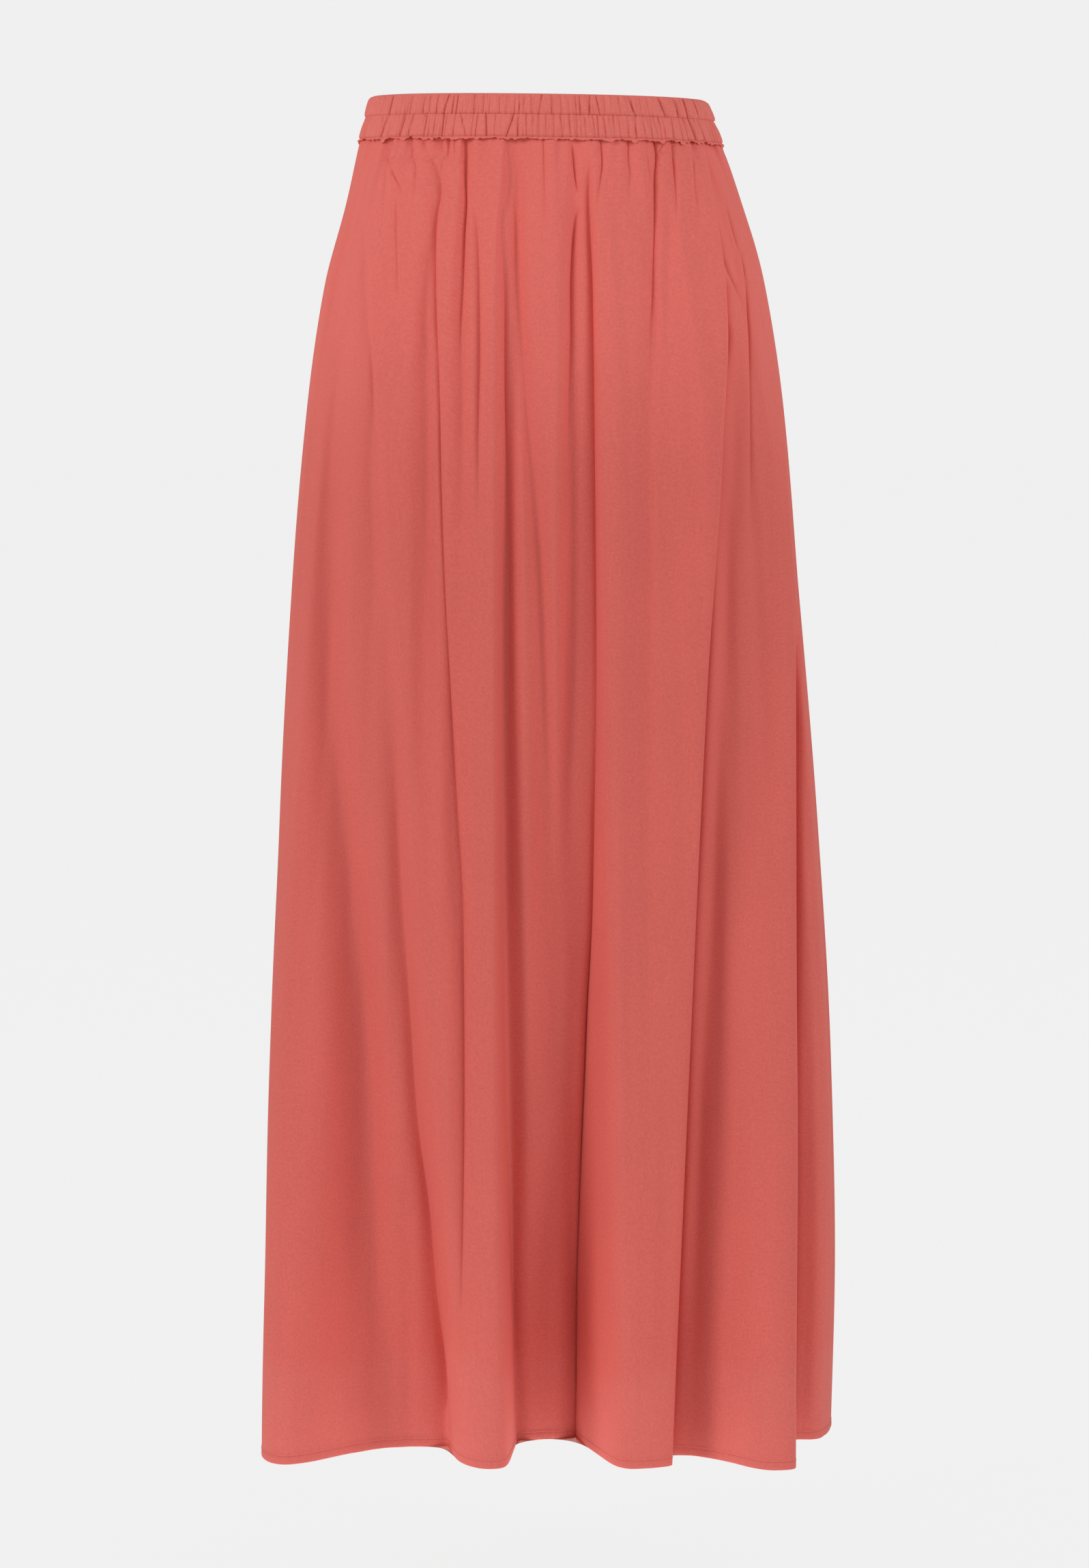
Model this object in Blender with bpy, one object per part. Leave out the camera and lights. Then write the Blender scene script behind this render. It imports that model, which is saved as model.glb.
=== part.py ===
"""A maxi skirt of plain light cloth, gathered into a double elastic waistband.

Three closed solids of cloth: the front panel, the back panel and the waistband.  The skirt keeps
the hollow form it has on a general figure, open at the waist and at the hem.

Frame: metres in Blender, +X to the wearer's left, -Y to the front, +Z up.  The origin is the
centre of the waistband's ring.  All tables and functions below work in millimetres.

At each height the cloth follows a ring: a rounded section from SECTIONS, which the rows of FOLDS
and GATHERS push out, pull in and lap over.  A place on a ring is its distance round from the
centre front, positive towards the wearer's left.
"""
from collections import namedtuple
import math

import bpy
import numpy as np

MM = 0.001

# ------------------------------------------------------------------ driving sizes, millimetres

BAND_TOP = 16.5
BAND_FOOT = -16.5
SEAM_GAP = 0.3
HEM = -985.0
HEM_TURN = 7.0            # height of the turned hem
HEM_RAISE = 0.5           # how far the doubled cloth of the hem stands proud
HEM_STEP = 0.5            # half the height over which it does so
CLOTH = 1.2               # thickness of a panel's wall

RING_STEPS = 1800         # samples round a section before the columns are chosen
SPAN_STEPS = 200          # samples between two lapped folds
BEND_SHARE = 7.0          # a bend of one radian earns as many columns as this much cloth
SIDE_PUSH = 0.4           # folds near the corners go to the front and back more than sideways
STEP_TURN = 1.3           # how sharply a step turns over its width
FULL_LAP_DEPTH = 6.0      # a step this deep has its whole lap, and a shallower one less
FADE_POWER = 1.3          # how suddenly the gathers run out below the seam
SEAM_BEARING = {"right": -90.0, "left": 88.0}     # side seams, degrees from the front

PANEL_COLUMNS = {"front_panel": 100, "back_panel": 92}
PANEL_HEIGHTS = (-28, -48, -80, -125, -185, -260, -350, -450, -560, -680, -790, -895)

# Half widths and depths of the plain section, and how square it is (2 is an ellipse).
Section = namedtuple("Section", "height right left front back front_power back_power")
SECTIONS = (
    Section(17, 125, 123, 95, 97, 2.3, 2.2),
    Section(-17, 134, 136, 98, 101, 2.3, 2.2),
    Section(-60, 144, 151, 103, 109, 2.4, 2.3),
    Section(-120, 160, 167, 109, 121, 2.5, 2.4),
    Section(-210, 173, 181, 114, 132, 2.6, 2.5),
    Section(-340, 184, 193, 116, 138, 2.7, 2.5),
    Section(-520, 192, 208, 113, 142, 2.8, 2.5),
    Section(-700, 196, 219, 108, 147, 2.9, 2.6),
    Section(-860, 191, 223, 103, 152, 3.0, 2.6),
    Section(-985, 187, 221, 100, 154, 3.0, 2.6),
)

# Five levels at which the rows of FOLDS give their places and depths.
LEVELS = (-17, -150, -400, -700, -985)

# view    the side that the places are read from: x for front and back, y for right and left
# kind    step: one side stands proud of the other; ridge: a soft ridge, or a valley where negative
# place   of the fold line at the five LEVELS
# depth   at the five LEVELS; a step with a positive depth is proud on its lower side round the ring
# width   half the width of the turn, at the top and at the hem
# lap     how far the proud side is pushed over the other, at the top and at the hem
# reach   how far from the fold line its rise or fall still counts, at the top and at the hem
Fold = namedtuple("Fold", "view kind place depth width lap reach")
FOLDS = (
    # front, from the wearer's right to the left
    Fold("front", "ridge", (-120, -150, -169, -180, -185), (0, 1, 3, 1, 0), (9, 12), (0, 0), (0, 0)),
    Fold("front", "ridge", (-125, -149, -155, -136, -134), (0, -5, -15, -22, -4), (9, 15), (0, 0), (0, 0)),
    Fold("front", "ridge", (-110, -120, -135, -125, -104), (0, 0, -2, -5, -20), (12, 24), (0, 0), (0, 0)),
    Fold("front", "step", (-115, -124, -104, -84, -62), (0, -2, -10, -30, -47), (6, 14), (0, 0), (16, 32)),
    Fold("front", "ridge", (-73, -83, -84, -78, -70), (-3, -6, -8, -2, 0), (4, 11), (0, 0), (0, 0)),
    Fold("front", "ridge", (-70, -70, -66, -54, -56), (0, 0, -4, -7, 0), (5, 8), (0, 0), (0, 0)),
    Fold("front", "ridge", (-52, -57, -55, -55, -55), (-3.5, -4, -1, 0, 0), (2.6, 8), (0, 0), (0, 0)),
    Fold("front", "ridge", (-40, -44, -43, -43, -43), (-2, -3, -1, 0, 0), (3.5, 8), (0, 0), (0, 0)),
    Fold("front", "step", (-22, -27, -27, -25, -20), (3.5, 9, 21, 37, 63), (2.6, 6), (1.5, 6), (9, 26)),
    Fold("front", "ridge", (-10, -13, -13, -10, -4), (0, 3, 8, 9, 6), (4, 9), (0, 0), (0, 0)),
    Fold("front", "ridge", (-17, -13, 3, 8, 8), (-1.5, -3.5, -5.5, 0, 0), (3.5, 8), (0, 0), (0, 0)),
    Fold("front", "ridge", (9, 12, 11, 8, 0), (1, 3, 6, 6, -18), (8, 14), (0, 0), (0, 0)),
    Fold("front", "ridge", (26, 22, 21, 16, 10), (-2.5, -4.5, -7, 0, 0), (3, 8), (0, 0), (0, 0)),
    Fold("front", "step", (37, 40, 44, 45, 45), (-1.2, -9, -23, -54, -90), (2.4, 18), (1.5, 0), (9, 32)),
    Fold("front", "ridge", (84, 81, 77, 77, 77), (-3, -4, -2, 0, 0), (3.5, 9), (0, 0), (0, 0)),
    Fold("front", "ridge", (96, 93, 92, 92, 92), (-2, -2, 0, 0, 0), (3, 8), (0, 0), (0, 0)),
    Fold("front", "step", (122, 137, 121.5, 107, 93), (2, 6, 14, 24, 42), (3, 5.5), (1.5, 7), (12, 30)),
    Fold("front", "ridge", (126, 145, 135, 121, 106), (0, -2, -4, -4, 0), (5, 8), (0, 0), (0, 0)),
    Fold("front", "ridge", (125, 153, 156, 154, 152), (0, -3, -3, 10, 32), (6, 28), (0, 0), (0, 0)),
    Fold("front", "step", (128, 158, 183, 183, 176), (0, 0, 24, 48, 80), (4, 6), (3, 8), (12, 22)),
    # wearer's left side, from the front to the back
    Fold("left", "ridge", (20, 30, 45, 60, 70), (0, 0, 1, 4, 8), (14, 26), (0, 0), (0, 0)),
    Fold("left", "step", (50, 62, 80, 96, 108), (1, 4, 9, 16, 28), (4, 12), (0.5, 2), (12, 26)),
    # back, from the wearer's right to the left
    Fold("back", "step", (-95, -112, -124, -130, -136), (-2, -5, -12, -20, -34), (3.5, 11), (0.5, 2), (12, 24)),
    Fold("back", "step", (-58, -66, -72, -76, -80), (2, 4, 9, 20, 36), (3.5, 14), (0, 0), (12, 26)),
    Fold("back", "ridge", (-40, -46, -50, -40, -40), (-3, -4, -4, 0, 0), (3.5, 9), (0, 0), (0, 0)),
    Fold("back", "step", (-12, -14, -12, -8, -4), (-3.5, -8, -18, -34, -58), (2.6, 9), (0.8, 4), (10, 28)),
    Fold("back", "ridge", (6, 8, 12, 14, 14), (-2, -3, -4, 0, 0), (3, 8), (0, 0), (0, 0)),
    Fold("back", "step", (28, 34, 42, 46, 48), (3, 8, 16, 32, 56), (2.6, 14), (0.8, 1), (10, 28)),
    Fold("back", "ridge", (62, 68, 74, 76, 76), (-3, -4, -3, -5, 0), (3.5, 10), (0, 0), (0, 0)),
    Fold("back", "step", (88, 102, 114, 120, 122), (-2, -6, -12, -22, -38), (3.5, 10), (0.5, 3), (12, 26)),
    Fold("back", "ridge", (112, 132, 146, 156, 160), (0, -3, -4, -8, -12), (6, 14), (0, 0), (0, 0)),
    # wearer's right side, from the front to the back
    Fold("right", "ridge", (-50, -54, -58, -60, -60), (0, 0, 2, 20, 62), (18, 26), (0, 0), (0, 0)),
    Fold("right", "step", (-10, -14, -20, -28, -36), (-1, -3, -7, -14, -24), (5, 12), (0, 1), (12, 26)),
    Fold("right", "ridge", (24, 26, 30, 30, 30), (-1, -3, -4, -6, -8), (6, 14), (0, 0), (0, 0)),
    Fold("right", "step", (48, 60, 74, 84, 90), (-1, -4, -9, -18, -30), (4, 12), (0.5, 2), (12, 26)),
)

# Gathers under the waistband: valleys that are deepest at the seam and run out below it.
# place is x at the seam on the front; the loop in gathers() sets the others round the ring.
Gather = namedtuple("Gather", "place depth width fade")
FRONT_GATHERS = (
    Gather(-111, 3.0, 3.2, 75),
    Gather(-93, 2.0, 2.8, 42),
    Gather(-84, 1.4, 2.6, 32),
    Gather(-65, 2.4, 2.6, 45),
    Gather(-31, 1.6, 2.6, 34),
    Gather(-9, 1.9, 3.0, 60),
    Gather(3, 1.2, 3.2, 40),
    Gather(15, 1.8, 2.6, 36),
    Gather(44.5, 2.2, 2.8, 50),
    Gather(55, 1.3, 2.8, 34),
    Gather(64.5, 2.2, 2.8, 50),
    Gather(104, 1.5, 2.6, 36),
    Gather(112.5, 2.2, 2.8, 52),
)
FRONT_GATHER_EDGE = 119.0     # x on the front past which the loop sets the gathers
GATHER_PITCH = 12.6
GATHER_DEPTH = 2.2
GATHER_WIDTH = 3.0
GATHER_FADE = 42.0

# Sines that make a row of like folds uneven: amount, turn from one to the next, and start.
Sway = namedtuple("Sway", "amount rate start")
GATHER_SPACING = (Sway(0.24, 2.4, 0.0), Sway(0.16, 5.3, 1.0))
GATHER_STRENGTH = (Sway(0.30, 3.7, 0.6),)
GATHER_RUN = (Sway(0.45, 1.9, 2.0),)
PUCKER_SPACING = (Sway(0.45, 5.0, 0.0), Sway(0.30, 11.0, 0.0))
PUCKER_STRENGTH = (Sway(0.25, 7.0, 0.0),)

# Waistband: height, distance out from the section, and how much of the puckers' depth shows.
BandRow = namedtuple("BandRow", "height out pucker rows")
BAND_PROFILE = (
    BandRow(BAND_TOP, -2.6, 0.0, "upper"),
    BandRow(15.6, 0.6, 0.6, "upper"),
    BandRow(9.0, 2.0, 1.0, "upper"),
    BandRow(1.2, 0.0, 0.4, "upper"),
    BandRow(-6.0, 2.0, 1.0, "lower"),
    BandRow(-13.0, 0.0, 0.6, "lower"),
    BandRow(BAND_FOOT, 1.9, 1.0, "lip"),
    BandRow(BAND_FOOT, -2.6, 0.0, "lip"),
)
BAND_COLUMNS = 192
PUCKERS = {"upper": 64, "lower": 64, "lip": 56}
PUCKER_DEPTH = 1.3
PUCKER_TURN = {"upper": 0.3, "lower": 1.9, "lip": 4.1}     # where each row of puckers starts, radians

CLOTH_COLOUR = (0.60, 0.125, 0.090, 1.0)
BAND_COLOUR = (0.62, 0.140, 0.100, 1.0)
CLOTH_ROUGHNESS = 0.82


# ------------------------------------------------------------------ curves through the tables

def smooth(knots, values, at):
    """Cubic through the values at the knots that never overshoots them."""
    order = np.argsort(knots)
    x = np.asarray(knots, float)[order]
    y = np.asarray(values, float)[order]
    step = np.diff(x)
    slope = np.diff(y) / step
    tangent = np.zeros_like(y)
    tangent[0], tangent[-1] = slope[0], slope[-1]
    for i in range(1, len(x) - 1):
        if slope[i - 1] * slope[i] > 0:
            tangent[i] = 2 * slope[i - 1] * slope[i] / (slope[i - 1] + slope[i])
    at = min(max(at, x[0]), x[-1])
    i = min(int(np.searchsorted(x, at, side="right")) - 1, len(x) - 2)
    t = (at - x[i]) / step[i]
    return ((1 + 2 * t) * (1 - t) ** 2 * y[i] + t * (1 - t) ** 2 * step[i] * tangent[i]
            + t * t * (3 - 2 * t) * y[i + 1] + t * t * (t - 1) * step[i] * tangent[i + 1])


def sway(rows, at):
    return sum(row.amount * np.sin(row.rate * at + row.start) for row in rows)


def section_size(name, height):
    return smooth([row.height for row in SECTIONS], [getattr(row, name) for row in SECTIONS], height)


def down_share(height):
    """0 at the waist seam, 1 at the hem."""
    return min(max((LEVELS[0] - height) / (LEVELS[0] - LEVELS[-1]), 0.0), 1.0)


def between(pair, height):
    share = down_share(height)
    return pair[0] * (1 - share) + pair[1] * share


# ------------------------------------------------------------------ the ring at one height

class Ring:
    """The plain section at one height, sampled from the centre back round to itself."""

    def __init__(self, height):
        self.height = height
        bearing = np.linspace(-np.pi, np.pi, RING_STEPS + 1)
        across, ahead = np.sin(bearing), np.cos(bearing)
        half_x = np.where(across < 0, section_size("right", height), section_size("left", height))
        half_y = np.where(ahead > 0, section_size("front", height), section_size("back", height))
        power = np.where(ahead > 0, section_size("front_power", height),
                         section_size("back_power", height))
        radius = ((np.abs(across) / half_x) ** power
                  + (np.abs(ahead) / half_y) ** power) ** (-1 / power)
        self.bearing = bearing
        self.x = radius * across
        self.y = -radius * ahead
        out = np.stack([SIDE_PUSH * self.x / half_x ** 2, self.y / half_y ** 2])
        self.out = out / np.linalg.norm(out, axis=0)
        around = np.concatenate([[0], np.cumsum(np.hypot(np.diff(self.x), np.diff(self.y)))])
        self.around = around - np.interp(0.0, bearing, around)
        self.length = around[-1]

    def at_bearing(self, degrees):
        return np.interp(np.radians(degrees), self.bearing, self.around)

    def place(self, view, value):
        """Distance round the ring of a place read as x (front, back) or y (right, left)."""
        degrees = np.degrees(self.bearing)
        if view == "front":
            part = np.abs(degrees) <= 90
            return np.interp(value, self.x[part], self.around[part])
        if view == "left":
            part = (degrees > 0) & (degrees < 180)
            return np.interp(value, self.y[part], self.around[part])
        if view == "right":
            part = (degrees < 0) & (degrees > -180)
            return np.interp(value, self.y[part][::-1], self.around[part][::-1])
        part = np.abs(degrees) >= 90
        around = np.where(degrees[part] < 0, self.around[part] + self.length, self.around[part])
        order = np.argsort(self.x[part])
        return np.interp(value, self.x[part][order], around[order])

    def away(self, around, place):
        """Signed distance round the ring from a place, the short way."""
        half = self.length / 2
        return (around - place + half) % self.length - half


def fold_line(fold, ring):
    return ring.place(fold.view, smooth(LEVELS, fold.place, ring.height))


def fold_shift(fold, ring):
    """How far one row of FOLDS moves each point of the ring: out, and along the ring."""
    depth = smooth(LEVELS, fold.depth, ring.height)
    width = between(fold.width, ring.height)
    distance = ring.away(ring.around, fold_line(fold, ring))
    turn = distance / width
    if fold.kind == "ridge":
        return depth * np.exp(-turn ** 2 / 2), np.zeros_like(turn)
    reach = between(fold.reach, ring.height)
    out = -depth / 2 * np.tanh(STEP_TURN * turn) * np.exp(-(distance / reach) ** 2 / 2)
    lap = between(fold.lap, ring.height) * min(abs(depth) / FULL_LAP_DEPTH, 1.0)
    return out, -lap * turn * np.exp((1 - turn ** 2) / 2)


def gathers():
    """All gathers as rows of Gather with the place given as a distance round the seam's ring."""
    seam = Ring(LEVELS[0])
    rows = [row._replace(place=seam.place("front", row.place)) for row in FRONT_GATHERS]
    start = seam.place("front", FRONT_GATHER_EDGE)
    end = seam.place("front", -FRONT_GATHER_EDGE) + seam.length
    count = int((end - start) / GATHER_PITCH)
    for i in range(count + 1):
        place = start + (end - start) * (i + sway(GATHER_SPACING, i)) / count
        depth = GATHER_DEPTH * (1 + sway(GATHER_STRENGTH, i))
        fade = GATHER_FADE * (1 + sway(GATHER_RUN, i))
        rows.append(Gather(place, depth, GATHER_WIDTH, fade))
    return rows


def gather_shift(row, ring, seam_length):
    below = LEVELS[0] - ring.height
    depth = row.depth * np.exp(-(max(below, 0.0) / row.fade) ** FADE_POWER)
    spread = ring.length / seam_length
    turn = ring.away(ring.around, row.place * spread) / (row.width * spread ** 2)
    return -depth * np.exp(-turn ** 2 / 2)


def folded_ring(height, gather_rows, seam_length):
    """Points of the folded cloth's outer face at one height, with the ring they come from."""
    ring = Ring(height)
    out = sum(gather_shift(row, ring, seam_length) for row in gather_rows)
    along = np.zeros_like(out)
    for fold in FOLDS:
        shift_out, shift_along = fold_shift(fold, ring)
        out = out + shift_out
        along = along + shift_along
    if height < HEM + HEM_TURN:
        out = out + HEM_RAISE
    x = ring.x + ring.out[0] * out - ring.out[1] * along
    y = ring.y + ring.out[1] * out + ring.out[0] * along
    return ring, x, y


# ------------------------------------------------------------------ columns of a panel

def seam_places(ring, name):
    """Where a panel starts and ends round the ring, half the seam gap inside each side seam."""
    right = ring.at_bearing(SEAM_BEARING["right"])
    left = ring.at_bearing(SEAM_BEARING["left"])
    inset = SEAM_GAP / 2
    if name == "front_panel":
        return right + inset, left - inset
    return left + inset, right + ring.length - inset


def anchors(ring, name):
    """Places round the ring that keep their own column: the side seams and the lapped folds."""
    start, end = seam_places(ring, name)
    lines = [fold_line(fold, ring) for fold in FOLDS if fold.kind == "step"]
    lines = [line + ring.length if line < start else line for line in lines]
    return [start] + sorted(line for line in lines if start < line < end) + [end]


def bend_measure(ring, x, y, steps):
    """Length of the folded cloth up to each step, with its bends counted in."""
    period = ring.length
    px = np.interp(steps, ring.around, x, period=period)
    py = np.interp(steps, ring.around, y, period=period)
    dx, dy = np.diff(px), np.diff(py)
    heading = np.unwrap(np.arctan2(dy, dx))
    bend = np.concatenate([[0], np.abs(np.diff(heading))])
    return np.concatenate([[0], np.cumsum(np.hypot(dx, dy) + BEND_SHARE * bend)])


def wall_points(ring, x, y, places):
    """Outer and inner points of the wall at places round the ring, at right angles to the cloth."""
    period = ring.length
    along_x = np.gradient(x, ring.around)
    along_y = np.gradient(y, ring.around)
    size = np.hypot(along_x, along_y)
    px, py, nx, ny = [np.interp(places, ring.around, values, period=period)
                      for values in (x, y, along_y / size, -along_x / size)]
    size = np.hypot(nx, ny)
    z = ring.height * MM
    outer = [(a * MM, b * MM, z) for a, b in zip(px, py)]
    inner = [(a * MM, b * MM, z) for a, b in zip(px - CLOTH * nx / size, py - CLOTH * ny / size)]
    return outer, inner


def panel_rows(name):
    """Outer and inner points of a panel, a row for each height from the waist seam to the hem."""
    gather_rows = gathers()
    seam_length = Ring(LEVELS[0]).length
    top = BAND_FOOT - SEAM_GAP
    turn = HEM + HEM_TURN
    heights = (top,) + PANEL_HEIGHTS + (turn + HEM_STEP, turn - HEM_STEP, HEM)
    folded = [folded_ring(height, gather_rows, seam_length) for height in heights]

    steps, measures = [], []
    for ring, x, y in folded:
        places = anchors(ring, name)
        steps.append([np.linspace(a, b, SPAN_STEPS) for a, b in zip(places[:-1], places[1:])])
        measures.append([bend_measure(ring, x, y, span) for span in steps[-1]])
    mean = np.mean([[measure[-1] for measure in row] for row in measures], axis=0)
    ends = np.round(np.cumsum(mean) / mean.sum() * PANEL_COLUMNS[name]).astype(int)
    counts = np.diff(ends, prepend=0)

    rows = []
    for (ring, x, y), spans, row in zip(folded, steps, measures):
        places = [spans[0][0]]
        for span, measure, count in zip(spans, row, counts):
            wanted = measure[-1] * np.arange(1, count + 1) / count
            places.extend(np.interp(wanted, measure, span))
        rows.append(wall_points(ring, x, y, places))
    return rows


# ------------------------------------------------------------------ solids

def new_material(name, colour):
    material = bpy.data.materials.new(name)
    material.use_nodes = True
    shader = material.node_tree.nodes["Principled BSDF"]
    shader.inputs["Base Color"].default_value = colour
    shader.inputs["Roughness"].default_value = CLOTH_ROUGHNESS
    shader.inputs["Metallic"].default_value = 0.0
    return material


def new_object(name, points, faces, material):
    mesh = bpy.data.meshes.new(name)
    mesh.from_pydata(points, [], faces)
    mesh.materials.append(material)
    mesh.shade_smooth()
    mesh.update()
    thing = bpy.data.objects.new(name, mesh)
    bpy.context.collection.objects.link(thing)
    return thing


def split_quad(points, quad):
    """Two triangles across the shorter diagonal, so that both faces of a wall bend alike."""
    a, b, c, d = quad
    if math.dist(points[a], points[c]) <= math.dist(points[b], points[d]):
        return (a, b, c), (a, c, d)
    return (a, b, d), (b, c, d)


def make_panel(name, material):
    """A panel's closed wall: its outer and inner faces as grids, joined round the edge."""
    rows = panel_rows(name)
    columns = len(rows[0][0])
    sheet = len(rows) * columns
    points = [point for outer, _ in rows for point in outer]
    points += [point for _, inner in rows for point in inner]
    faces = []
    for i in range(len(rows) - 1):
        for j in range(columns - 1):
            a = i * columns + j
            for outer in split_quad(points, (a, a + columns, a + columns + 1, a + 1)):
                faces.append(outer)
                faces.append(tuple(sheet + corner for corner in reversed(outer)))
    edge = list(range(columns))
    edge += [i * columns + columns - 1 for i in range(1, len(rows))]
    edge += [sheet - 1 - j for j in range(1, columns)]
    edge += [i * columns for i in range(len(rows) - 2, 0, -1)]
    for a, b in zip(edge, edge[1:] + edge[:1]):
        faces.append((a, b, sheet + b, sheet + a))
    return new_object(name, points, faces, material)


def pucker(kind, turn):
    """Depth of the elastic's puckers at a share of the way round, from -1 to 0."""
    angle = 2 * np.pi * turn + PUCKER_TURN[kind]
    wave = PUCKERS[kind] * angle + sway(PUCKER_SPACING, angle)
    strength = 1 - PUCKER_STRENGTH[0].amount + sway(PUCKER_STRENGTH, angle)
    return strength * (np.cos(wave) - 1) / 2


def make_waistband(material):
    """The gathered double casing: one closed ring, swept along its wavy profile."""
    loops = []
    for row in BAND_PROFILE:
        ring = Ring(row.height)
        turn = np.arange(BAND_COLUMNS) / BAND_COLUMNS
        places = turn * ring.length
        x = np.interp(places, ring.around, ring.x, period=ring.length)
        y = np.interp(places, ring.around, ring.y, period=ring.length)
        out_x = np.interp(places, ring.around, ring.out[0], period=ring.length)
        out_y = np.interp(places, ring.around, ring.out[1], period=ring.length)
        out = row.out + PUCKER_DEPTH * row.pucker * pucker(row.rows, turn)
        loops.append([((a + c * o) * MM, (b + d * o) * MM, row.height * MM)
                      for a, b, c, d, o in zip(x, y, out_x, out_y, out)])
    points = [point for loop in loops for point in loop]
    faces = []
    for i in range(len(loops)):
        below = (i + 1) % len(loops)
        for j in range(BAND_COLUMNS):
            right = (j + 1) % BAND_COLUMNS
            faces.append((i * BAND_COLUMNS + j, below * BAND_COLUMNS + j,
                          below * BAND_COLUMNS + right, i * BAND_COLUMNS + right))
    return new_object("waistband", points, faces, material)


def main():
    for thing in list(bpy.data.objects):
        bpy.data.objects.remove(thing)
    cloth = new_material("cloth", CLOTH_COLOUR)
    band = new_material("band_cloth", BAND_COLOUR)
    for name in PANEL_COLUMNS:
        make_panel(name, cloth)
    make_waistband(band)


main()
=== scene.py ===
"""The looks of a maxi skirt of light plain cloth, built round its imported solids.

Each solid is replaced by a finer thin shell on the same form: the front panel, the back panel and
the waistband, with rows of stitches of their own.  Metres in Blender, +X to the wearer's left,
-Y to the front, +Z up, and the origin at the middle of the waistband.  The tables and functions
work in millimetres.

At each height the cloth follows a ring: a rounded section, which the tables of ridges, steps and
lines push out, pull in and lap over.  A place on a ring is its distance round from the centre
front, positive towards the wearer's left.
"""
import math
from collections import namedtuple

import bpy
import numpy as np
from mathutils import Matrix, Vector


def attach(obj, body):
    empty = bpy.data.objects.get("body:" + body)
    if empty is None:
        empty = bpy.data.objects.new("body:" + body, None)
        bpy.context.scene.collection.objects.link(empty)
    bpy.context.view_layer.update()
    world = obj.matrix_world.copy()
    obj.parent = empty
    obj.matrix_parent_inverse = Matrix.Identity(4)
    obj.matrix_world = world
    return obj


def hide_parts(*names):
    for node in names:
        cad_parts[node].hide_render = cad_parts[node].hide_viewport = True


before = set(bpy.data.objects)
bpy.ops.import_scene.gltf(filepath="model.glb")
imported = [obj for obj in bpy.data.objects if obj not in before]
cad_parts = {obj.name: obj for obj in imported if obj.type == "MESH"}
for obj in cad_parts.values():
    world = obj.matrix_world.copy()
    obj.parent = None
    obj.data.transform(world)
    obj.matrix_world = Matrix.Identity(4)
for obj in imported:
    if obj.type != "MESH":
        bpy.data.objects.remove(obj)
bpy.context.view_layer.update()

MM = 0.001

# ------------------------------------------------------------------ the form, as in the solids

RING_STEPS = 3600         # samples round a section before the columns are chosen
SIDE_PUSH = 0.4           # folds near the corners go to the front and back more than sideways
SEAM_BEARING = {"right": -90.0, "left": 88.0}     # side seams, degrees from the front

# Half widths and depths of the plain section, and how square it is (2 is an ellipse).
Section = namedtuple("Section", "height right left front back front_power back_power")
SECTIONS = [Section(*row) for row in (
    (17, 125, 123, 95, 97, 2.3, 2.2),
    (-17, 134, 136, 98, 101, 2.3, 2.2),
    (-60, 144, 151, 103, 109, 2.4, 2.3),
    (-120, 160, 167, 109, 121, 2.5, 2.4),
    (-210, 173, 181, 114, 132, 2.6, 2.5),
    (-340, 184, 193, 116, 138, 2.7, 2.5),
    (-520, 192, 208, 113, 142, 2.8, 2.5),
    (-700, 196, 219, 108, 147, 2.9, 2.6),
    (-860, 191, 223, 103, 152, 3, 2.6),
    (-985, 187, 221, 100, 154, 3, 2.6),
)]

# Five levels at which the ridges and steps give their places and depths.
LEVELS = (-17, -150, -400, -700, -985)

# Soft ridges, by the side that their places are read from: x for front and back, y for the others.
# place   of the fold line at the five LEVELS
# depth   at the five LEVELS; a valley where it is negative
# width   half the width of the turn, at the top and at the hem
Ridge = namedtuple("Ridge", "view place depth width")
RIDGES = [Ridge(view, *row) for view, rows in {
    "front": (
        ((-120, -150, -169, -180, -185), (0, 1, 3, 1, 0), (9, 12)),
        ((-125, -149, -155, -136, -134), (0, -5, -15, -22, -4), (9, 15)),
        ((-110, -120, -135, -125, -104), (0, 0, -2, -5, -10), (12, 24)),
        ((-73, -83, -84, -78, -70), (-3, -6, -8, -2, 0), (4, 11)),
        ((-70, -70, -66, -54, -56), (0, 0, -4, -7, 0), (5, 8)),
        ((-52, -57, -55, -55, -55), (-3.5, -4, -1, 0, 0), (2.6, 8)),
        ((-40, -44, -43, -43, -43), (-2, -3, -1, 0, 0), (3.5, 8)),
        ((-10, -13, -13, -10, -4), (0, 3, 8, 9, 6), (4, 9)),
        ((-17, -13, 3, 8, 8), (-1.5, -3.5, -5.5, 0, 0), (3.5, 8)),
        ((9, 12, 11, 8, 0), (1, 3, 6, 6, -18), (8, 14)),
        ((26, 22, 21, 16, 10), (-2.5, -4.5, -7, 0, 0), (3, 8)),
        ((84, 81, 77, 77, 77), (-3, -4, -2, 0, 0), (3.5, 9)),
        ((96, 93, 92, 92, 92), (-2, -2, 0, 0, 0), (3, 8)),
        ((126, 145, 135, 121, 106), (0, -2, -4, -4, 0), (5, 8)),
        ((125, 153, 156, 154, 152), (0, -3, -3, 10, 32), (6, 28)),
    ),
    "left": (
        ((20, 30, 45, 60, 70), (0, 0, 1, 4, 8), (14, 26)),
    ),
    "back": (
        ((-40, -46, -50, -40, -40), (-3, -4, -4, 0, 0), (3.5, 9)),
        ((6, 8, 12, 14, 14), (-2, -3, -4, 0, 0), (3, 8)),
        ((62, 68, 74, 76, 76), (-3, -4, -3, -5, 0), (3.5, 10)),
        ((112, 132, 146, 156, 160), (0, -3, -4, -8, -12), (6, 14)),
    ),
    "right": (
        ((-50, -54, -58, -60, -60), (0, 0, 2, 20, 62), (18, 26)),
        ((24, 26, 30, 30, 30), (-1, -3, -4, -6, -8), (6, 14)),
    ),
}.items() for row in rows]

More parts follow.
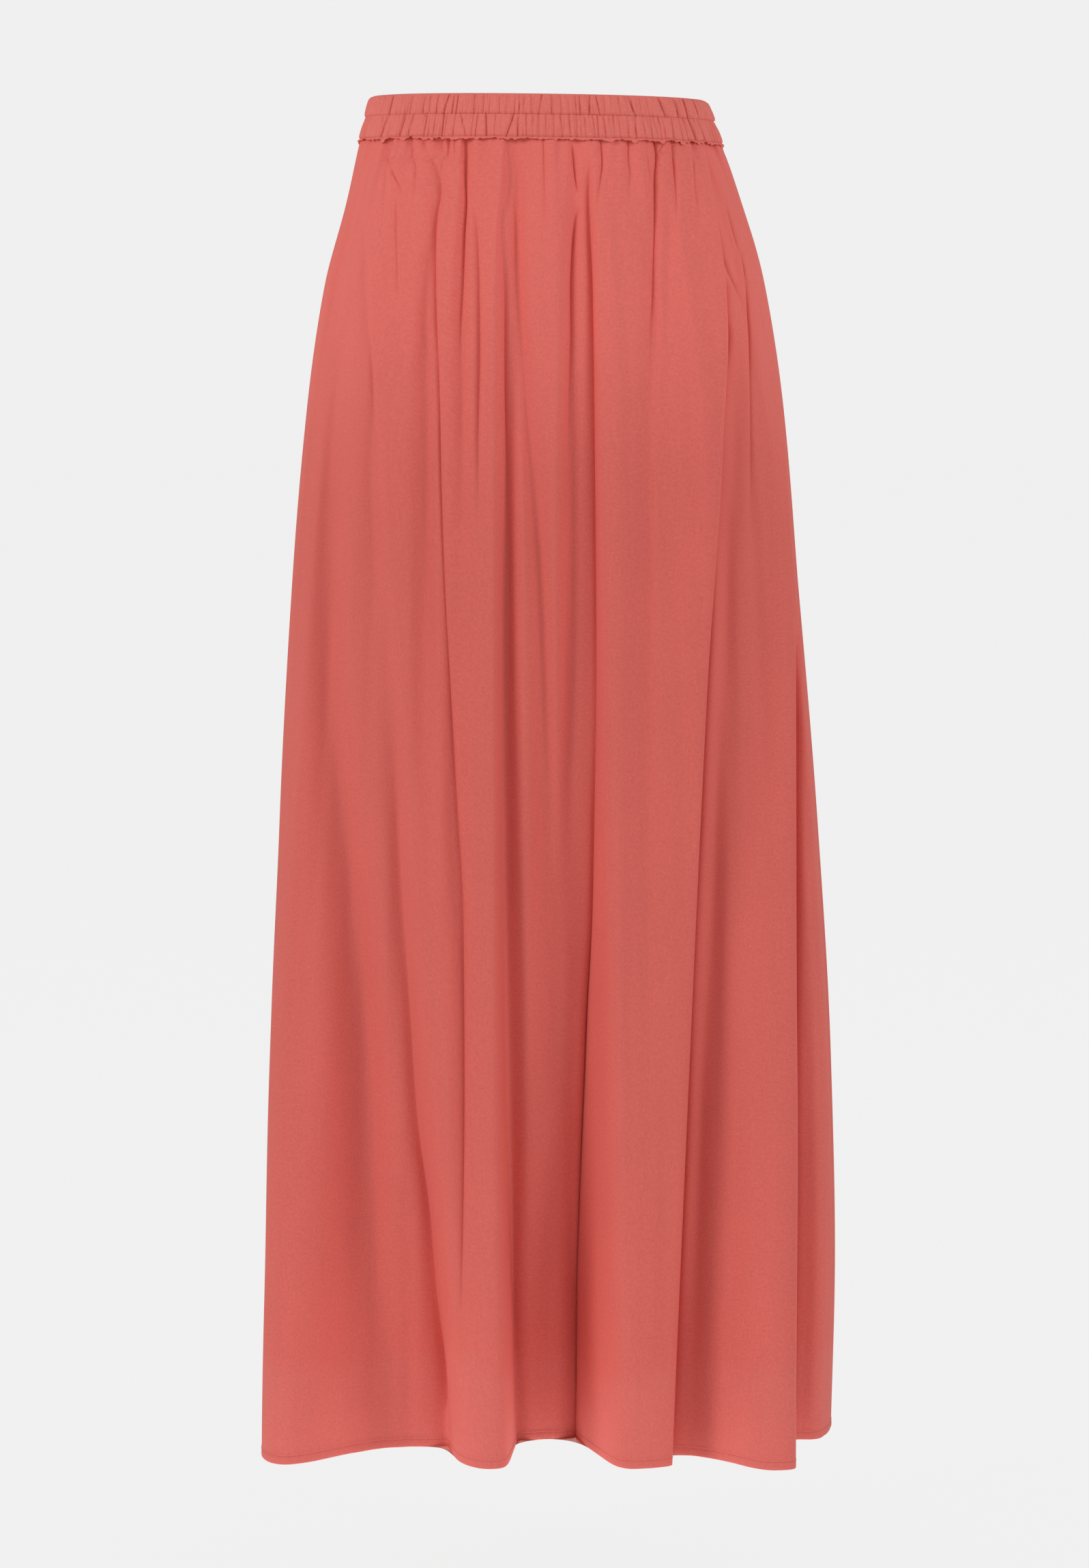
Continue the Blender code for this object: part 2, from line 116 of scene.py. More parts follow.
# Steps, where one side of the fold line stands proud of the other.
# depth   a step with a positive depth is proud on its lower side round the ring
# lap     how far the two sides are pulled over each other, at the top and at the hem
# reach   how far from the fold line its rise or fall still counts, at the top and at the hem
Step = namedtuple("Step", "view place depth width lap reach")
STEPS = [Step(view, *row) for view, rows in {
    "front": (
        ((-115, -124, -104, -84, -62), (0, -2, -10, -30, -47), (6, 14), (0, 0), (16, 32)),
        ((-22, -28, -29, -27, -21.5), (3.5, 9, 21, 37, 63), (2.6, 7), (-1.8, 3.5), (9, 26)),
        ((37, 40, 44, 45, 45), (-1.2, -9, -23, -54, -90), (2.4, 18), (1.5, 0), (9, 32)),
        ((122, 137, 121.5, 107, 93), (2, 6, 14, 24, 28), (3, 5.5), (1.5, 7), (12, 30)),
        ((128, 158, 183, 183, 176), (0, 0, 24, 48, 80), (4, 6), (3, 8), (12, 22)),
    ),
    "left": (
        ((50, 62, 80, 96, 108), (1, 4, 9, 16, 28), (4, 12), (0.5, 2), (12, 26)),
    ),
    "back": (
        ((-95, -112, -124, -130, -136), (-2, -5, -12, -20, -34), (3.5, 11), (0.5, 2), (12, 24)),
        ((-58, -66, -72, -76, -80), (2, 4, 9, 20, 36), (3.5, 14), (0, 0), (12, 26)),
        ((-12, -14, -12, -8, -4), (-3.5, -8, -18, -34, -58), (2.6, 9), (0.8, 4), (10, 28)),
        ((28, 34, 42, 46, 48), (3, 8, 16, 32, 56), (2.6, 14), (0.8, 1), (10, 28)),
        ((88, 102, 114, 120, 122), (-2, -6, -12, -22, -38), (3.5, 10), (0.5, 3), (12, 26)),
    ),
    "right": (
        ((-10, -14, -20, -28, -36), (-1, -3, -7, -14, -24), (5, 12), (0, 1), (12, 26)),
        ((48, 60, 74, 84, 90), (-1, -4, -9, -18, -30), (4, 12), (0.5, 2), (12, 26)),
    ),
}.items() for row in rows]
STEP_TURN = 1.3           # how sharply a step turns over its width
FULL_LAP_DEPTH = 6.0      # a step this deep has its whole lap, and a shallower one less

# What a loop sets at uneven places: the pitch, how far each may be from its even place as a share
# of the pitch, and the seed of its chance.
Loop = namedtuple("Loop", "pitch slip seed")

# Gathers under the waistband: valleys that are deepest at the seam and run out below it.
# place is x at the seam on the front; the loop in gathers() sets the others round the ring.
Gather = namedtuple("Gather", "place depth width fade")
FRONT_GATHERS = [Gather(*row) for row in (
    (-111, 3, 3.2, 75), (-93, 2, 2.8, 42), (-84, 1.4, 2.6, 32), (-65, 2.4, 2.6, 45), (-31, 1.6, 2.6, 34),
    (-9, 1.9, 3, 60), (3, 1.2, 3.2, 40), (15, 1.8, 2.6, 36), (44.5, 2.2, 2.8, 50), (55, 1.3, 2.8, 34),
    (64.5, 2.2, 2.8, 50), (104, 1.5, 2.6, 36), (112.5, 2.2, 2.8, 52),
)]
FRONT_GATHER_EDGE = 119.0     # x on the front past which the loop sets the gathers
GATHER_PITCH = 12.6
GATHER = Gather(0, 2.2, 3.0, 42.0)
FADE_POWER = 1.3          # how suddenly the gathers run out below the seam

# Sines that make a row of like folds uneven: amount, turn from one to the next, and start.
Sway = namedtuple("Sway", "amount rate start")
GATHER_SPACING = (Sway(0.24, 2.4, 0.0), Sway(0.16, 5.3, 1.0))
GATHER_STRENGTH = (Sway(0.30, 3.7, 0.6),)
GATHER_RUN = (Sway(0.45, 1.9, 2.0),)

# ------------------------------------------------------------------ the finer form of the cloth

CLOTH = 0.9               # thickness of the shell
PANEL_COLUMNS = 420
SPAN_STEPS = 400          # samples between two lapped folds
BEND_SHARE = 5.0          # a bend of one radian earns as many columns as this much cloth
# Rows of a panel: from one height down to another in steps of about this size.
PANEL_ROWS = ((-11.8, -62, 2.8), (-62, -160, 5.0), (-160, -972, 12.0))
TUCK = 5.2                # the panel's top goes this far up inside the waistband's wall
TUCK_IN = 1.4             # and leans in by this much there
TUCK_SHARE = 0.15         # with this share of the depth of its folds, gathers and lines

# The turned hem: height, how far the outer face stands out, and the wall's thickness there.
HEM_ROWS = (
    (-975.5, 0, 0.9), (-977.4, 0.05, 1.0), (-978.2, 0.42, 1.5), (-978.8, 0.28, 1.6),
    (-979.3, 0.10, 1.5), (-979.8, 0.30, 1.6), (-980.8, 0.45, 1.8), (-982.6, 0.50, 1.8),
    (-984.2, 0.40, 1.7), (-984.8, 0.15, 1.3), (-985.0, -0.15, 0.8),
)
HEM_STITCH_HEIGHT = -979.3
HEM_STITCH_OUT = 0.1

# The cloth swells out below the waistband: by how much, and how fast that rises and fades.
SWELL = 1.0
SWELL_TOP = -14.5
SWELL_RISE = 1.5
SWELL_FADE = 26.0

# The side seams are closed and pull the cloth in: how deep, and half the width of the groove.
SEAM_GAP = 0.04
SEAM_DIP = 1.0
SEAM_WIDTH = 1.5

# Small gathers between the larger ones, all round the seam.
SMALL_GATHER_LOOP = Loop(4.7, 0.4, 4)
SMALL_GATHER = Gather(0, 0.8, 1.2, 12)
SMALL_GATHER_DEPTH = (0.35, 1.5)       # least and greatest, as shares of that one's
SMALL_GATHER_FADE = (0.5, 2.2)

# Slack that every hanging cloth has: soft waves with a whole number of turns round the ring, and
# how their place drifts down the skirt, in radians to the metre.
Wave = namedtuple("Wave", "amount turns drift start")
SLACK = (Wave(0.70, 19, 3.1, 0.4), Wave(0.50, 31, -4.3, 2.1), Wave(0.32, 47, 5.2, 4.4),
         Wave(0.16, 83, -7.0, 1.2))
SLACK_START = 70.0        # the waves grow to their full size over this much cloth below the seam

# Lines pressed into the cloth of the front, each drawn through a few places down the skirt.
# down    below the middle of the waistband
# place   x there
# valley  how deep the line lies there, or how high where it is negative
# width   half the width of the valley
# pinch   how closely its two sides come together, as a share of the width
# step    how far the cloth stands out more on its left side than on its right one
Line = namedtuple("Line", "down place valley width pinch step", defaults=(None,))
LINES = [Line(*row) for row in (
    ((13, 20, 27, 36, 60, 100), (-107.5, -108.5, -110.7, -112, -113, -114), (2.6, 3.1, 2.9, 2.1, 1.2, 0),
     1.7, 0.45),
    ((29, 34, 42, 48, 56), (-113, -110, -106, -103, -100), (0, 2.1, 2.1, 1.6, 0), 1.2, 0.5),
    ((14, 30, 36, 50, 62), (-93, -92, -90, -91, -92), (1.6, 2, 1.7, 1, 0), 1.1, 0.4),
    ((14, 30, 39, 47, 58), (-85, -80, -75, -73.5, -73), (1.6, 2.3, 2.1, 1.6, 0), 2, 0.3),
    ((50, 70, 108, 140), (-104, -104.5, -103.5, -102), (0, 1.2, 1.2, 0), 1.2, 0.4),
    ((60, 80, 114, 148, 181, 215, 330), (-131, -129, -127, -125, -122.5, -119, -112), (0, 0.9, 1.2, 1.4,
     1.5, 1.6, 0), 3, 0.2),
    ((12, 41, 59, 72, 90, 134, 191, 268, 345, 423, 502, 581, 739, 819, 900), (-70, -71, -72.5, -75, -76,
     -75.5, -73, -71.5, -69, -65, -60, -55.5, -55, -55.5, -56), (1.6, 2, 2.4, 2.8, 3.2, 3.6, 3.6, 2.8,
     2.4, 2.4, 2.2, 2.2, 2.4, 2.2, 0), 1.5, 0.57, (0, 0, 0.3, 0.6, 0.8, 1, 1.2, 1.2, 1.2, 1, 0.8, 0.5, 0,
     0, 0)),
    ((423, 502, 581, 660, 739, 819, 899, 960), (-107, -105, -101, -96.5, -91.5, -81, -75, -70), (0, 2.5,
     4.5, 7, 8, 9, 8, 3), 5, 0.35),
    ((13, 25, 38), (-66, -66, -66.5), (1.6, 1.3, 0), 0.8, 0.5),
    ((13, 24, 36), (-61.5, -61.5, -61), (1.3, 1, 0), 0.8, 0.5),
    ((12, 41, 63, 88, 114, 150, 182), (-54, -54.5, -53.5, -55, -55.5, -58, -59.5), (2.3, 2.9, 2.9, 2.6,
     2.1, 1.3, 0), 1.2, 0.5),
    ((20, 38, 59, 88, 121, 170, 230, 300), (-53, -51, -48, -45, -43.5, -43, -44, -44), (0, 1, 1.6, 2, 2.3,
     2.6, 2.1, 0), 1.8, 0.35),
    ((12, 41, 59, 72, 90, 125, 191, 268, 345, 423, 502, 620), (-23.5, -23.5, -25, -27, -27.5, -27, -26.5,
     -24.5, -22.5, -22, -21, -17), (2, 2.6, 2.8, 3, 3.2, 3.4, 3.4, 1.6, 0.6, 0.3, 0.2, 0), 1.5, 0.57),
    ((130, 165, 191, 240, 330), (-121, -122, -122, -123, -124), (0, 1, 1.3, 1, 0), 3, 0.3),
    ((150, 268, 345, 423, 502, 660, 800), (-149, -153, -154.5, -155, -152, -140, -136), (0, -2, -3, -3,
     -3, -2, 0), 9, 0),
    ((700, 819, 899, 985), (30, 28, 29, 29), (0, 8, 18, 12), 7, 0.4),
    ((800, 860, 899, 939, 985), (-83, -78, -72, -69, -68), (0, 1.5, 6, 11, 9), 8, 0.35),
    ((345, 423, 502, 581, 660, 740), (3, 3, 6, 8, 8, 8), (0, 2, 5, 7, 6, 0), 11, 0),
    ((110, 191, 268, 345, 423, 502, 620), (-11, -9, -2.5, 3, 3, 6, 8), (0, 1, 1.2, 1.2, 1.4, 1.8, 0), 6,
     0.1),
    ((170, 268, 345, 423, 502, 620), (22, 21, 20.5, 21, 22, 20), (0, 2.4, 3.2, 3.4, 3, 0), 6.5, 0.1),
    ((700, 760, 819, 899, 939, 985), (-19, -19, -19, -17, -15.5, -14), (0, 2, 4.5, 10, 10, 7), 4.2, 0.5),
    ((14, 38, 59, 88, 114, 148, 200, 280), (-17.5, -19, -19.5, -17.5, -16, -14, -11, -8), (0.8, 1.4, 1.4,
     1.6, 1.8, 2, 1.6, 0), 3, 0.2),
    ((14, 27, 59, 88), (2.5, 3, 3.5, 5), (1, 1.2, 0.9, 0), 0.9, 0.4),
    ((18, 25, 38, 47, 60), (22.5, 23.5, 25, 26.5, 29), (0.4, 1.8, 2.1, 1.8, 0), 1, 0.5),
    ((62, 70, 92, 121, 148, 185, 230, 320), (30, 27, 24, 22.5, 22.5, 21, 19.5, 18), (0, 2.3, 3.4, 3.4,
     2.9, 2.3, 1.7, 0), 1.7, 0.4),
    ((22, 43, 59, 81, 125, 191, 268, 345, 423, 502, 581, 660, 819, 985), (37.5, 35.5, 35, 35.5, 38, 39.5,
     40.5, 41.5, 42, 40.5, 39, 35, 30.5, 28), (0, 1.6, 2.2, 2.4, 2.8, 3.4, 4.2, 4.8, 5.2, 5.8, 6.2, 6.6,
     6, 3), 2.1, 0.57),
    ((12, 22, 32, 47, 65, 79), (44, 44.5, 45, 43.5, 42.5, 43.5), (1.3, 2.3, 2.3, 1.8, 1, 0), 1, 0.5),
    ((12, 30, 38, 52, 70), (64.5, 64, 65, 64.5, 64), (1.6, 2, 1.6, 1, 0), 1.1, 0.45),
    ((12, 32, 43, 52), (76.5, 78.5, 80, 80.5), (1.3, 1.7, 1.3, 0), 1, 0.5),
    ((12, 27, 47, 70, 92, 130, 148, 200), (83, 85, 84, 84, 83.5, 82.5, 80.5, 79), (2.6, 2.9, 2.6, 2.3,
     2.1, 1.6, 0.9, 0), 1, 0.55),
    ((15, 19, 24, 31), (90.5, 89, 87, 85.5), (0, 1.7, 1.6, 0), 0.8, 0.5),
    ((12, 36, 54, 68, 90), (96, 98, 99, 99.5, 100.5), (2.1, 2.1, 1.8, 1.3, 0), 1.2, 0.5),
    ((12, 27, 47, 61, 80), (111.5, 112, 113, 114.5, 116), (1.7, 1.7, 1.3, 1, 0), 1.2, 0.4),
    ((30, 41, 65, 88, 105), (124.5, 125.5, 128, 132, 134), (0, 1.2, 1.4, 1, 0), 3, 0.2),
    ((61, 67, 92, 103), (137, 139, 146, 150), (0, 1.3, 1.7, 0), 1.2, 0.4),
    ((72, 83, 101, 112, 121, 132), (131, 133, 136.5, 140, 144.5, 148), (0, 2.1, 2.6, 2.9, 2.3, 0), 1.4,
     0.5),
    ((112, 125, 139, 159, 181, 203, 268, 345, 423, 502, 581, 739, 899, 985), (137, 138, 138, 139.7, 137.3,
     135.5, 131.6, 127, 122.8, 119.4, 115.4, 110.3, 103.4, 99), (0, 4.5, 6.5, 7.8, 9, 10, 11, 11, 9, 8,
     8.8, 9.4, 8.8, 4), 2.2, 0.35),
    ((268, 345, 423, 502, 660, 819, 900), (136, 131.5, 127.5, 124.5, 117, 110, 106), (0, -1.5, -3, -3.6,
     -4.4, -4.4, 0), 3.4, 0),
    ((370, 405, 440, 502, 581, 660, 819, 985), (193, 194, 195, 194.5, 193.5, 191.5, 190, 188), (0, 7, 12,
     13.5, 12.5, 12, 11, 6), 4.2, 0.35),
    ((95, 103, 119, 139, 165, 192, 215, 300), (148.5, 150, 152.5, 154, 155.5, 155.5, 155.5, 155), (0, 1.6,
     2.1, 2.3, 2.3, 2.1, 1.8, 0), 1.1, 0.45),
)]
STEP_REACH = 7.0          # a line's step runs out over this many of its widths

# ------------------------------------------------------------------ the waistband

BAND_COLUMNS = 2300
BAND_INSIDE = -2.6        # the plain inner face, from the section
MIDDLE_STITCH = 2.2       # heights of the two rows of stitches
LOWER_STITCH = -14.0
BAND_TILT = 0.0125        # the band's rise to the wearer's right, which runs out below it
TILT_RUN = 90.0

# Once round the waistband's wall: height, distance out from the section, the share of the upper
# casing's creases, of the lower casing's and of the frill's waves, and the mesh rows to the next.
BandRow = namedtuple("BandRow", "height out upper lower frill steps")
BAND_LINE = [BandRow(*row) for row in (
    (16.8, -1.7, 0.2, 0, 0, 1),
    (16.9, -0.9, 0.5, 0, 0, 1),
    (16.1, 0.1, 0.8, 0, 0, 2),
    (14.4, 0.8, 1, 0, 0, 3),
    (9.4, 1.2, 1, 0, 0, 3),
    (5, 1.1, 1, 0, 0, 2),
    (3, 0.5, 0.8, 0.1, 0, 1),
    (MIDDLE_STITCH, -0.6, 0.4, 0.4, 0, 1),
    (1.4, 0.1, 0.1, 0.8, 0, 2),
    (-1, 0.4, 0, 1, 0, 3),
    (-6, 1, 0, 1, 0, 3),
    (-11.2, 1, 0, 1, 0, 2),
    (-13.1, 0.6, 0, 0.8, 0, 1),
    (LOWER_STITCH, -0.4, 0, 0.5, 0.1, 1),
    (-14.4, 0.7, 0, 0.3, 0.4, 1),
    (-14.9, 1.3, 0, 0.2, 0.8, 1),
    (-15.4, 1.4, 0, 0.1, 1, 1),
    (-15.7, 1.1, 0, 0.1, 1, 1),
    (-15.6, 0.6, 0, 0.1, 1, 1),
    (-14.8, 0, 0, 0.1, 0.8, 1),
    (-13.6, -0.9, 0, 0.1, 0.2, 1),
    (-12.8, BAND_INSIDE, 0, 0.1, 0, 1),
    (-6, BAND_INSIDE - 0.3, 0, 0.15, 0, 1),
    (1.4, BAND_INSIDE, 0.1, 0.1, 0, 1),
    (9, BAND_INSIDE - 0.3, 0.15, 0, 0, 1),
    (16, BAND_INSIDE, 0.1, 0, 0, 1),
)]

# Sharp creases in the gathered casings: place round the ring at the casing's middle, depth, slant in
# mm to the mm down, half width, and the share of the depth at the casing's top and at its foot.
BandCrease = namedtuple("BandCrease", "place depth slant width top foot")
# The main ones on the front, listed with x for the place: place, depth and any slant.
UPPER_CREASES = (
    (-116, 0.8, 0.05), (-110, 1.5, 0.03), (-94.5, 0.8), (-85, 0.7), (-80.5, 0.6, 0.05), (-75, 0.8),
    (-68.5, 1.6, -0.17), (-63.5, 0.6), (-60.5, 1.1), (-48, 1.1, 0.05), (-46.5, 0.5), (-41, 0.9),
    (-36.5, 0.6), (-29.5, 1, 0.04), (-24, 0.8), (-18, 0.8, -0.06), (-15, 0.9, 0.05), (-11.5, 0.7),
    (-6, 0.5), (0.5, 1.3, -0.13), (8.5, 0.9), (10, 0.6), (15.5, 1, 0.03), (21.5, 0.6), (26.5, 1),
    (29.5, 1.4, 0.02), (36.5, 1.3, -0.1), (42.5, 1, 0.15), (47.5, 0.5), (58.5, 0.8, 0.05),
    (67.5, 1.6, 0.26), (74, 0.5), (79.5, 0.6), (90, 1.7, 0.25), (101, 1.5, 0.08), (108.5, 1.9, 0.05),
    (117, 1.6, 0.1),
)
LOWER_CREASES = (
    (-111.5, 1.7, -0.2), (-98, 1.6, -0.12), (-91.5, 0.5), (-81.5, 1.4), (-79, 0.6, 0.05), (-75, 0.7),
    (-69, 1.8, 0.03), (-67, 0.7), (-61, 0.5), (-54.5, 1.1, 0.35), (-48, 1), (-45, 0.8, -0.05),
    (-38, 1.5, 0.1), (-32, 0.9), (-27.5, 0.5), (-21, 2, -0.3), (-15.5, 0.8), (-9.5, 0.9, 0.04),
    (-5, 0.5), (-0.5, 1), (4.5, 0.7), (10, 0.8), (15.5, 1.2, 0.08), (21.5, 0.8), (26.5, 1.2),
    (29.5, 0.7), (32.5, 0.7), (38.5, 0.7, 0.05), (41.5, 1.1), (46.5, 0.9, 0.04), (53, 0.9), (57, 0.6),
    (63, 0.8), (68.5, 1, -0.1), (74.5, 0.5), (79.5, 0.8), (83, 0.7, 0.06), (86, 0.9), (89, 0.7),
    (95, 1, -0.1), (101, 0.7), (104.5, 0.6), (109.5, 2, 0.15), (116, 1, 0.1), (121.5, 0.7, 0.1),
)
CREASE_WIDTH = (0.55, 0.85)        # of the shallowest and the deepest creases
CREASE_DEPTHS = (0.4, 1.6)         # and their depths
CREASE_GAIN = 1.08                 # deepens all main creases
FRONT_CREASE_EDGE = {"upper": 127.0, "lower": 122.0}     # x past which a loop sets the creases
CREASE_LOOPS = {"upper": Loop(8.2, 0.36, 11), "lower": Loop(6.9, 0.36, 12)}
LOOP_CREASE_DEPTHS = (0.63, 0.84, 1.155, 1.68)
LOOP_CREASE_SLANT = (-0.15, 0.15)
# Fine creases that start at a row of stitches, above or below, and run out across the casing.
FINE_LOOPS = {"upper": Loop(2.3, 0.5, 21), "lower": Loop(2.3, 0.5, 22)}
FINE_SHARES = ((1.0, 0.0), (0.0, 1.0), (0.8, 0.7))       # at the casing's top and at its foot
FINE_DEPTH = (0.25, 0.95)
FINE_SLANT = (-0.25, 0.25)
FINE_WIDTH = 0.42
PUFF = 0.75               # how far the cloth swells between two creases
PUFF_SPACING = 9.0        # creases this far apart let it swell by that much
PUFF_MOST = 1.5           # and wider ones by this many times as much at most
CRINKLES = (Wave(0.09, 199, 55, 0.3), Wave(0.07, 271, -70, 1.9), Wave(0.05, 353, 90, 4.0))
CASING_MIDDLE = {"upper": 9.5, "lower": -5.9}
CASING_HALF = {"upper": 7.3, "lower": 8.1}

# Dips of the frilled edge: x on the front, how far it hangs down there, and half its width.
FrillDip = namedtuple("FrillDip", "place down width")
FRILL_DIPS = [FrillDip(*row) for row in (
    (-124.5, -0.8, 2.6), (-118, 0.5, 1.2), (-110.5, 2.3, 1.5), (-105, -0.6, 2), (-96, 0.9, 2.2),
    (-90.8, -1.3, 1.2), (-80.5, 0.8, 2), (-75.5, 0.9, 1), (-70.5, -0.7, 0.9), (-68, 0.8, 0.8),
    (-60, 0.8, 3), (-52, 0.6, 1), (-44, 0.5, 1.6), (-32, -0.6, 1.4), (-23, 0.5, 1.1), (-17, 0.5, 1),
    (-9, -0.4, 2.4), (2, 0.3, 2), (11, 0.5, 0.9), (22, 0.4, 1), (31, 0.5, 2.2), (49, 1.1, 2.6),
    (57, -0.4, 2), (66.5, 1.3, 1.8), (74, -0.4, 2.4), (86, 1.1, 1.6), (92, -0.8, 2.6), (100.5, 1.3, 1.8),
    (107, -0.8, 2), (111.5, 1, 1.1), (116.5, -0.9, 1.8), (121, 0.6, 2), (128, 1.2, 2),
)]
FRONT_DIP_EDGE = 131.0    # x past which a loop sets the dips
DIP_LOOP = Loop(6.5, 0.3, 31)
DIP_DOWN = (0.4, 1.2)
DIP_RISE = -0.7           # every second dip of the loop is a rise, by this share
DIP_WIDTH = (1.0, 2.4)
DIP_GAIN = 1.3            # deepens all dips
FRILL_DOWN = (Wave(0.20, 131, 0, 1.5), Wave(0.17, 197, 0, 0.5), Wave(0.12, 307, 0, 2.2))
FRILL_OUT = (Wave(0.20, 57, 0, 0.8), Wave(0.14, 83, 0, 2.6), Wave(0.08, 131, 0, 5.1))
FRILL_OUT_SHARE = 0.2     # where it hangs down it also stands out, by this share

# ------------------------------------------------------------------ stitches

STITCH_PITCH = 2.1
STITCH_LENGTH = 1.6
STITCH_RADIUS = 0.22
STITCH_SIDES = 6
STITCH_SLIP = 0.12        # how far a stitch is from its even place at most
STITCH_LOOK = 0.4         # its direction is taken over this much thread on each side
# A stitch from end to end: place along it, height above the cloth and thickness, as shares.
STITCH_SHAPE = ((-0.50, -0.8, 0.55), (-0.36, 0.0, 0.95), (0.0, 0.45, 1.0), (0.36, 0.0, 0.95),
                (0.50, -0.8, 0.55))

# ------------------------------------------------------------------ colours and finish

# streak is how much the threads differ in tone
Finish = namedtuple("Finish", "colour roughness sheen streak")
CLOTH_FINISH = Finish((0.700, 0.141, 0.116), 0.78, 0.06, 0.022)
# The waistband's colour is painted lighter than the panels' cloth: painted light, for the brighter light
# at the waist.
BAND_TOP_LIT_FINISH = Finish((0.775, 0.184, 0.152), 0.78, 0.06, 0.03)
THREAD_FINISH = Finish((0.58, 0.098, 0.080), 0.6, 0.1, 0.0)
THREAD_TWIST = 0.5        # size of its twist, and the range of its tone
THREAD_TONE = (0.8, 1.25)
# Noises in the weave: the width and length of their cells, and how much detail they have.
NOISES = {
    "warp": (0.55, 26.0, 2.0), "weft": (18.0, 0.5, 2.0), "mottle": (4.0, 5.5, 3.0),
    "cloud": (60.0, 95.0, 2.0), "fleck": (2.0, 1.8, 2.0), "speck": (1.9, 1.5, 1.0),
}
WEFT_SHARE = 0.8          # the weft's streaks, as a share of the warp's
MOTTLE = (0.98, 1.02)     # range of tone of the three soft noises
RELIEF = 0.12 * MM        # height of the threads
FLECK_RELIEF = 0.7        # the flecks' height, as a share of a thread's
BLOOM = 0.010             # the yarn's uneven bloom, which pales the cloth or deepens it
SPECK_BLOOM = 0.025       # and its few small specks
SPECK_RANGE = (0.64, 0.72)
TOP_PAINTED_LIGHT_TONE = 1.12          # painted light: the cloth's tone at the waist, painted lighter for the brighter light from above, which falls to 1 over this reach
TOP_PAINTED_LIGHT_REACH = (0.10, 0.30)
TOP_PAINTED_LIGHT_BLOOM = 0.08         # painted light: paleness added for each unit of that extra tone
THINNESS = (0.15, 0.20)   # share of light that enters the cloth, with its lining and below it
THIN_REACH = 1.2 * MM
LINING_END = 0.915        # metres of cloth below the seam, where the half lining stops
LINING_FADE = 0.010       # half the length over which its edge fades, in the painted light and shade and in the subsurface
UNLINED_PAINTED_LIGHT = 0.014     # painted light and shade below the unbuilt half lining's edge: how much paler the cloth is painted there, for light through the unlined cloth, and its tone there, painted for the shaded inside
UNLINED_PAINTED_SHADE = 0.98

# The camera stands in front, a little below the waist, and looks slightly down.
CAMERA_PLACE = (0.0035, -3.4, -0.15)
CAMERA_DOWN = 5.7723
CAMERA_LENS = 104.06
CAMERA_SENSOR = 36.0

STUDIO_LIGHT = 0.445      # brightness of the surroundings as light, and as they are seen
STUDIO_SEEN = 0.87
# Two large soft lamps in front, to the left and right of the camera and above it, and three weak
# ones for the light that comes back from the floor inside the hem and in front of it.
Lamp = namedtuple("Lamp", "name place aim size power")
LAMPS = (
    Lamp("lamp_left", (-3.4, -2.2, 1.4), (0.0, 0.0, -0.3), 1.6, 66.0),
    Lamp("lamp_right", (3.5, -2.2, 1.4), (0.0, 0.0, -0.3), 1.6, 53.0),
    Lamp("floor_bounce", (0.0, 0.03, -1.10), (0.0, 0.03, 0.0), 0.20, 0.3),
    Lamp("floor_front_left", (0.10, -0.26, -1.115), (0.10, -0.26, 0.0), 0.5, 0.35),
    Lamp("floor_front_right", (-0.26, -0.27, -1.115), (-0.26, -0.27, 0.0), 0.4, 0.35),
)
FLOOR_GLOW = 0.846        # the floor as it is seen, without what it catches of the light
FLOOR_LIGHT = 0.64        # and as it lights the skirt from below
FLOOR_COLOUR = 0.05
FLOOR_HEIGHT = -1120.0
FLOOR_SIZE = 60000.0


# ------------------------------------------------------------------ curves through the tables

def smooth(knots, values, at):
    """Cubic through the values at the knots that never overshoots them."""
    order = np.argsort(knots)
    x = np.asarray(knots, float)[order]
    y = np.asarray(values, float)[order]
    step = np.diff(x)
    slope = np.diff(y) / step
    tangent = np.zeros_like(y)
    tangent[0], tangent[-1] = slope[0], slope[-1]
    for i in range(1, len(x) - 1):
        if slope[i - 1] * slope[i] > 0:
            tangent[i] = 2 * slope[i - 1] * slope[i] / (slope[i - 1] + slope[i])
    at = np.clip(at, x[0], x[-1])
    i = np.minimum(np.searchsorted(x, at, side="right") - 1, len(x) - 2)
    t = (at - x[i]) / step[i]
    return ((1 + 2 * t) * (1 - t) ** 2 * y[i] + t * (1 - t) ** 2 * step[i] * tangent[i]
            + t * t * (3 - 2 * t) * y[i + 1] + t * t * (t - 1) * step[i] * tangent[i + 1])


def share_between(low, high, at):
    """0 at low and 1 at high, and no less or more past them."""
    return min(max((at - low) / (high - low), 0.0), 1.0)


def between(pair, height):
    """Between a value at the waist seam and one at the hem."""
    share = share_between(LEVELS[0], LEVELS[-1], height)
    return pair[0] * (1 - share) + pair[1] * share


def tilted(x, height):
    """The height with the waistband's slight tilt, which runs out below it."""
    share = share_between(LEVELS[0] - TILT_RUN, LEVELS[0], height)
    return height - BAND_TILT * x * share * share * (3 - 2 * share)


def sway(rows, at):
    return sum(row.amount * np.sin(row.rate * at + row.start) for row in rows)


def waves(rows, turn, height=0.0):
    """Waves round the ring at a share of the way round, drifting with the height."""
    return sum(row.amount * np.sin(2 * np.pi * row.turns * turn + row.drift * height * MM + row.start)
               for row in rows)


def uneven(loop, start, end, first=0):
    """Uneven places from start to end, each with the chance that what is set there draws from.

    The places count from 0 at the start, and those before the first are left out.
    """
    chance = np.random.default_rng(loop.seed)
    count = round((end - start) / loop.pitch)
    for i in range(first, count):
        yield start + (end - start) * (i + chance.uniform(-loop.slip, loop.slip)) / count, chance


def bell(turn):
    return np.exp(-turn ** 2 / 2)


def closing(turn):
    """Pull towards the middle of a fold, greatest at half its width on each side."""
    return -turn * np.exp((1 - turn ** 2) / 2)


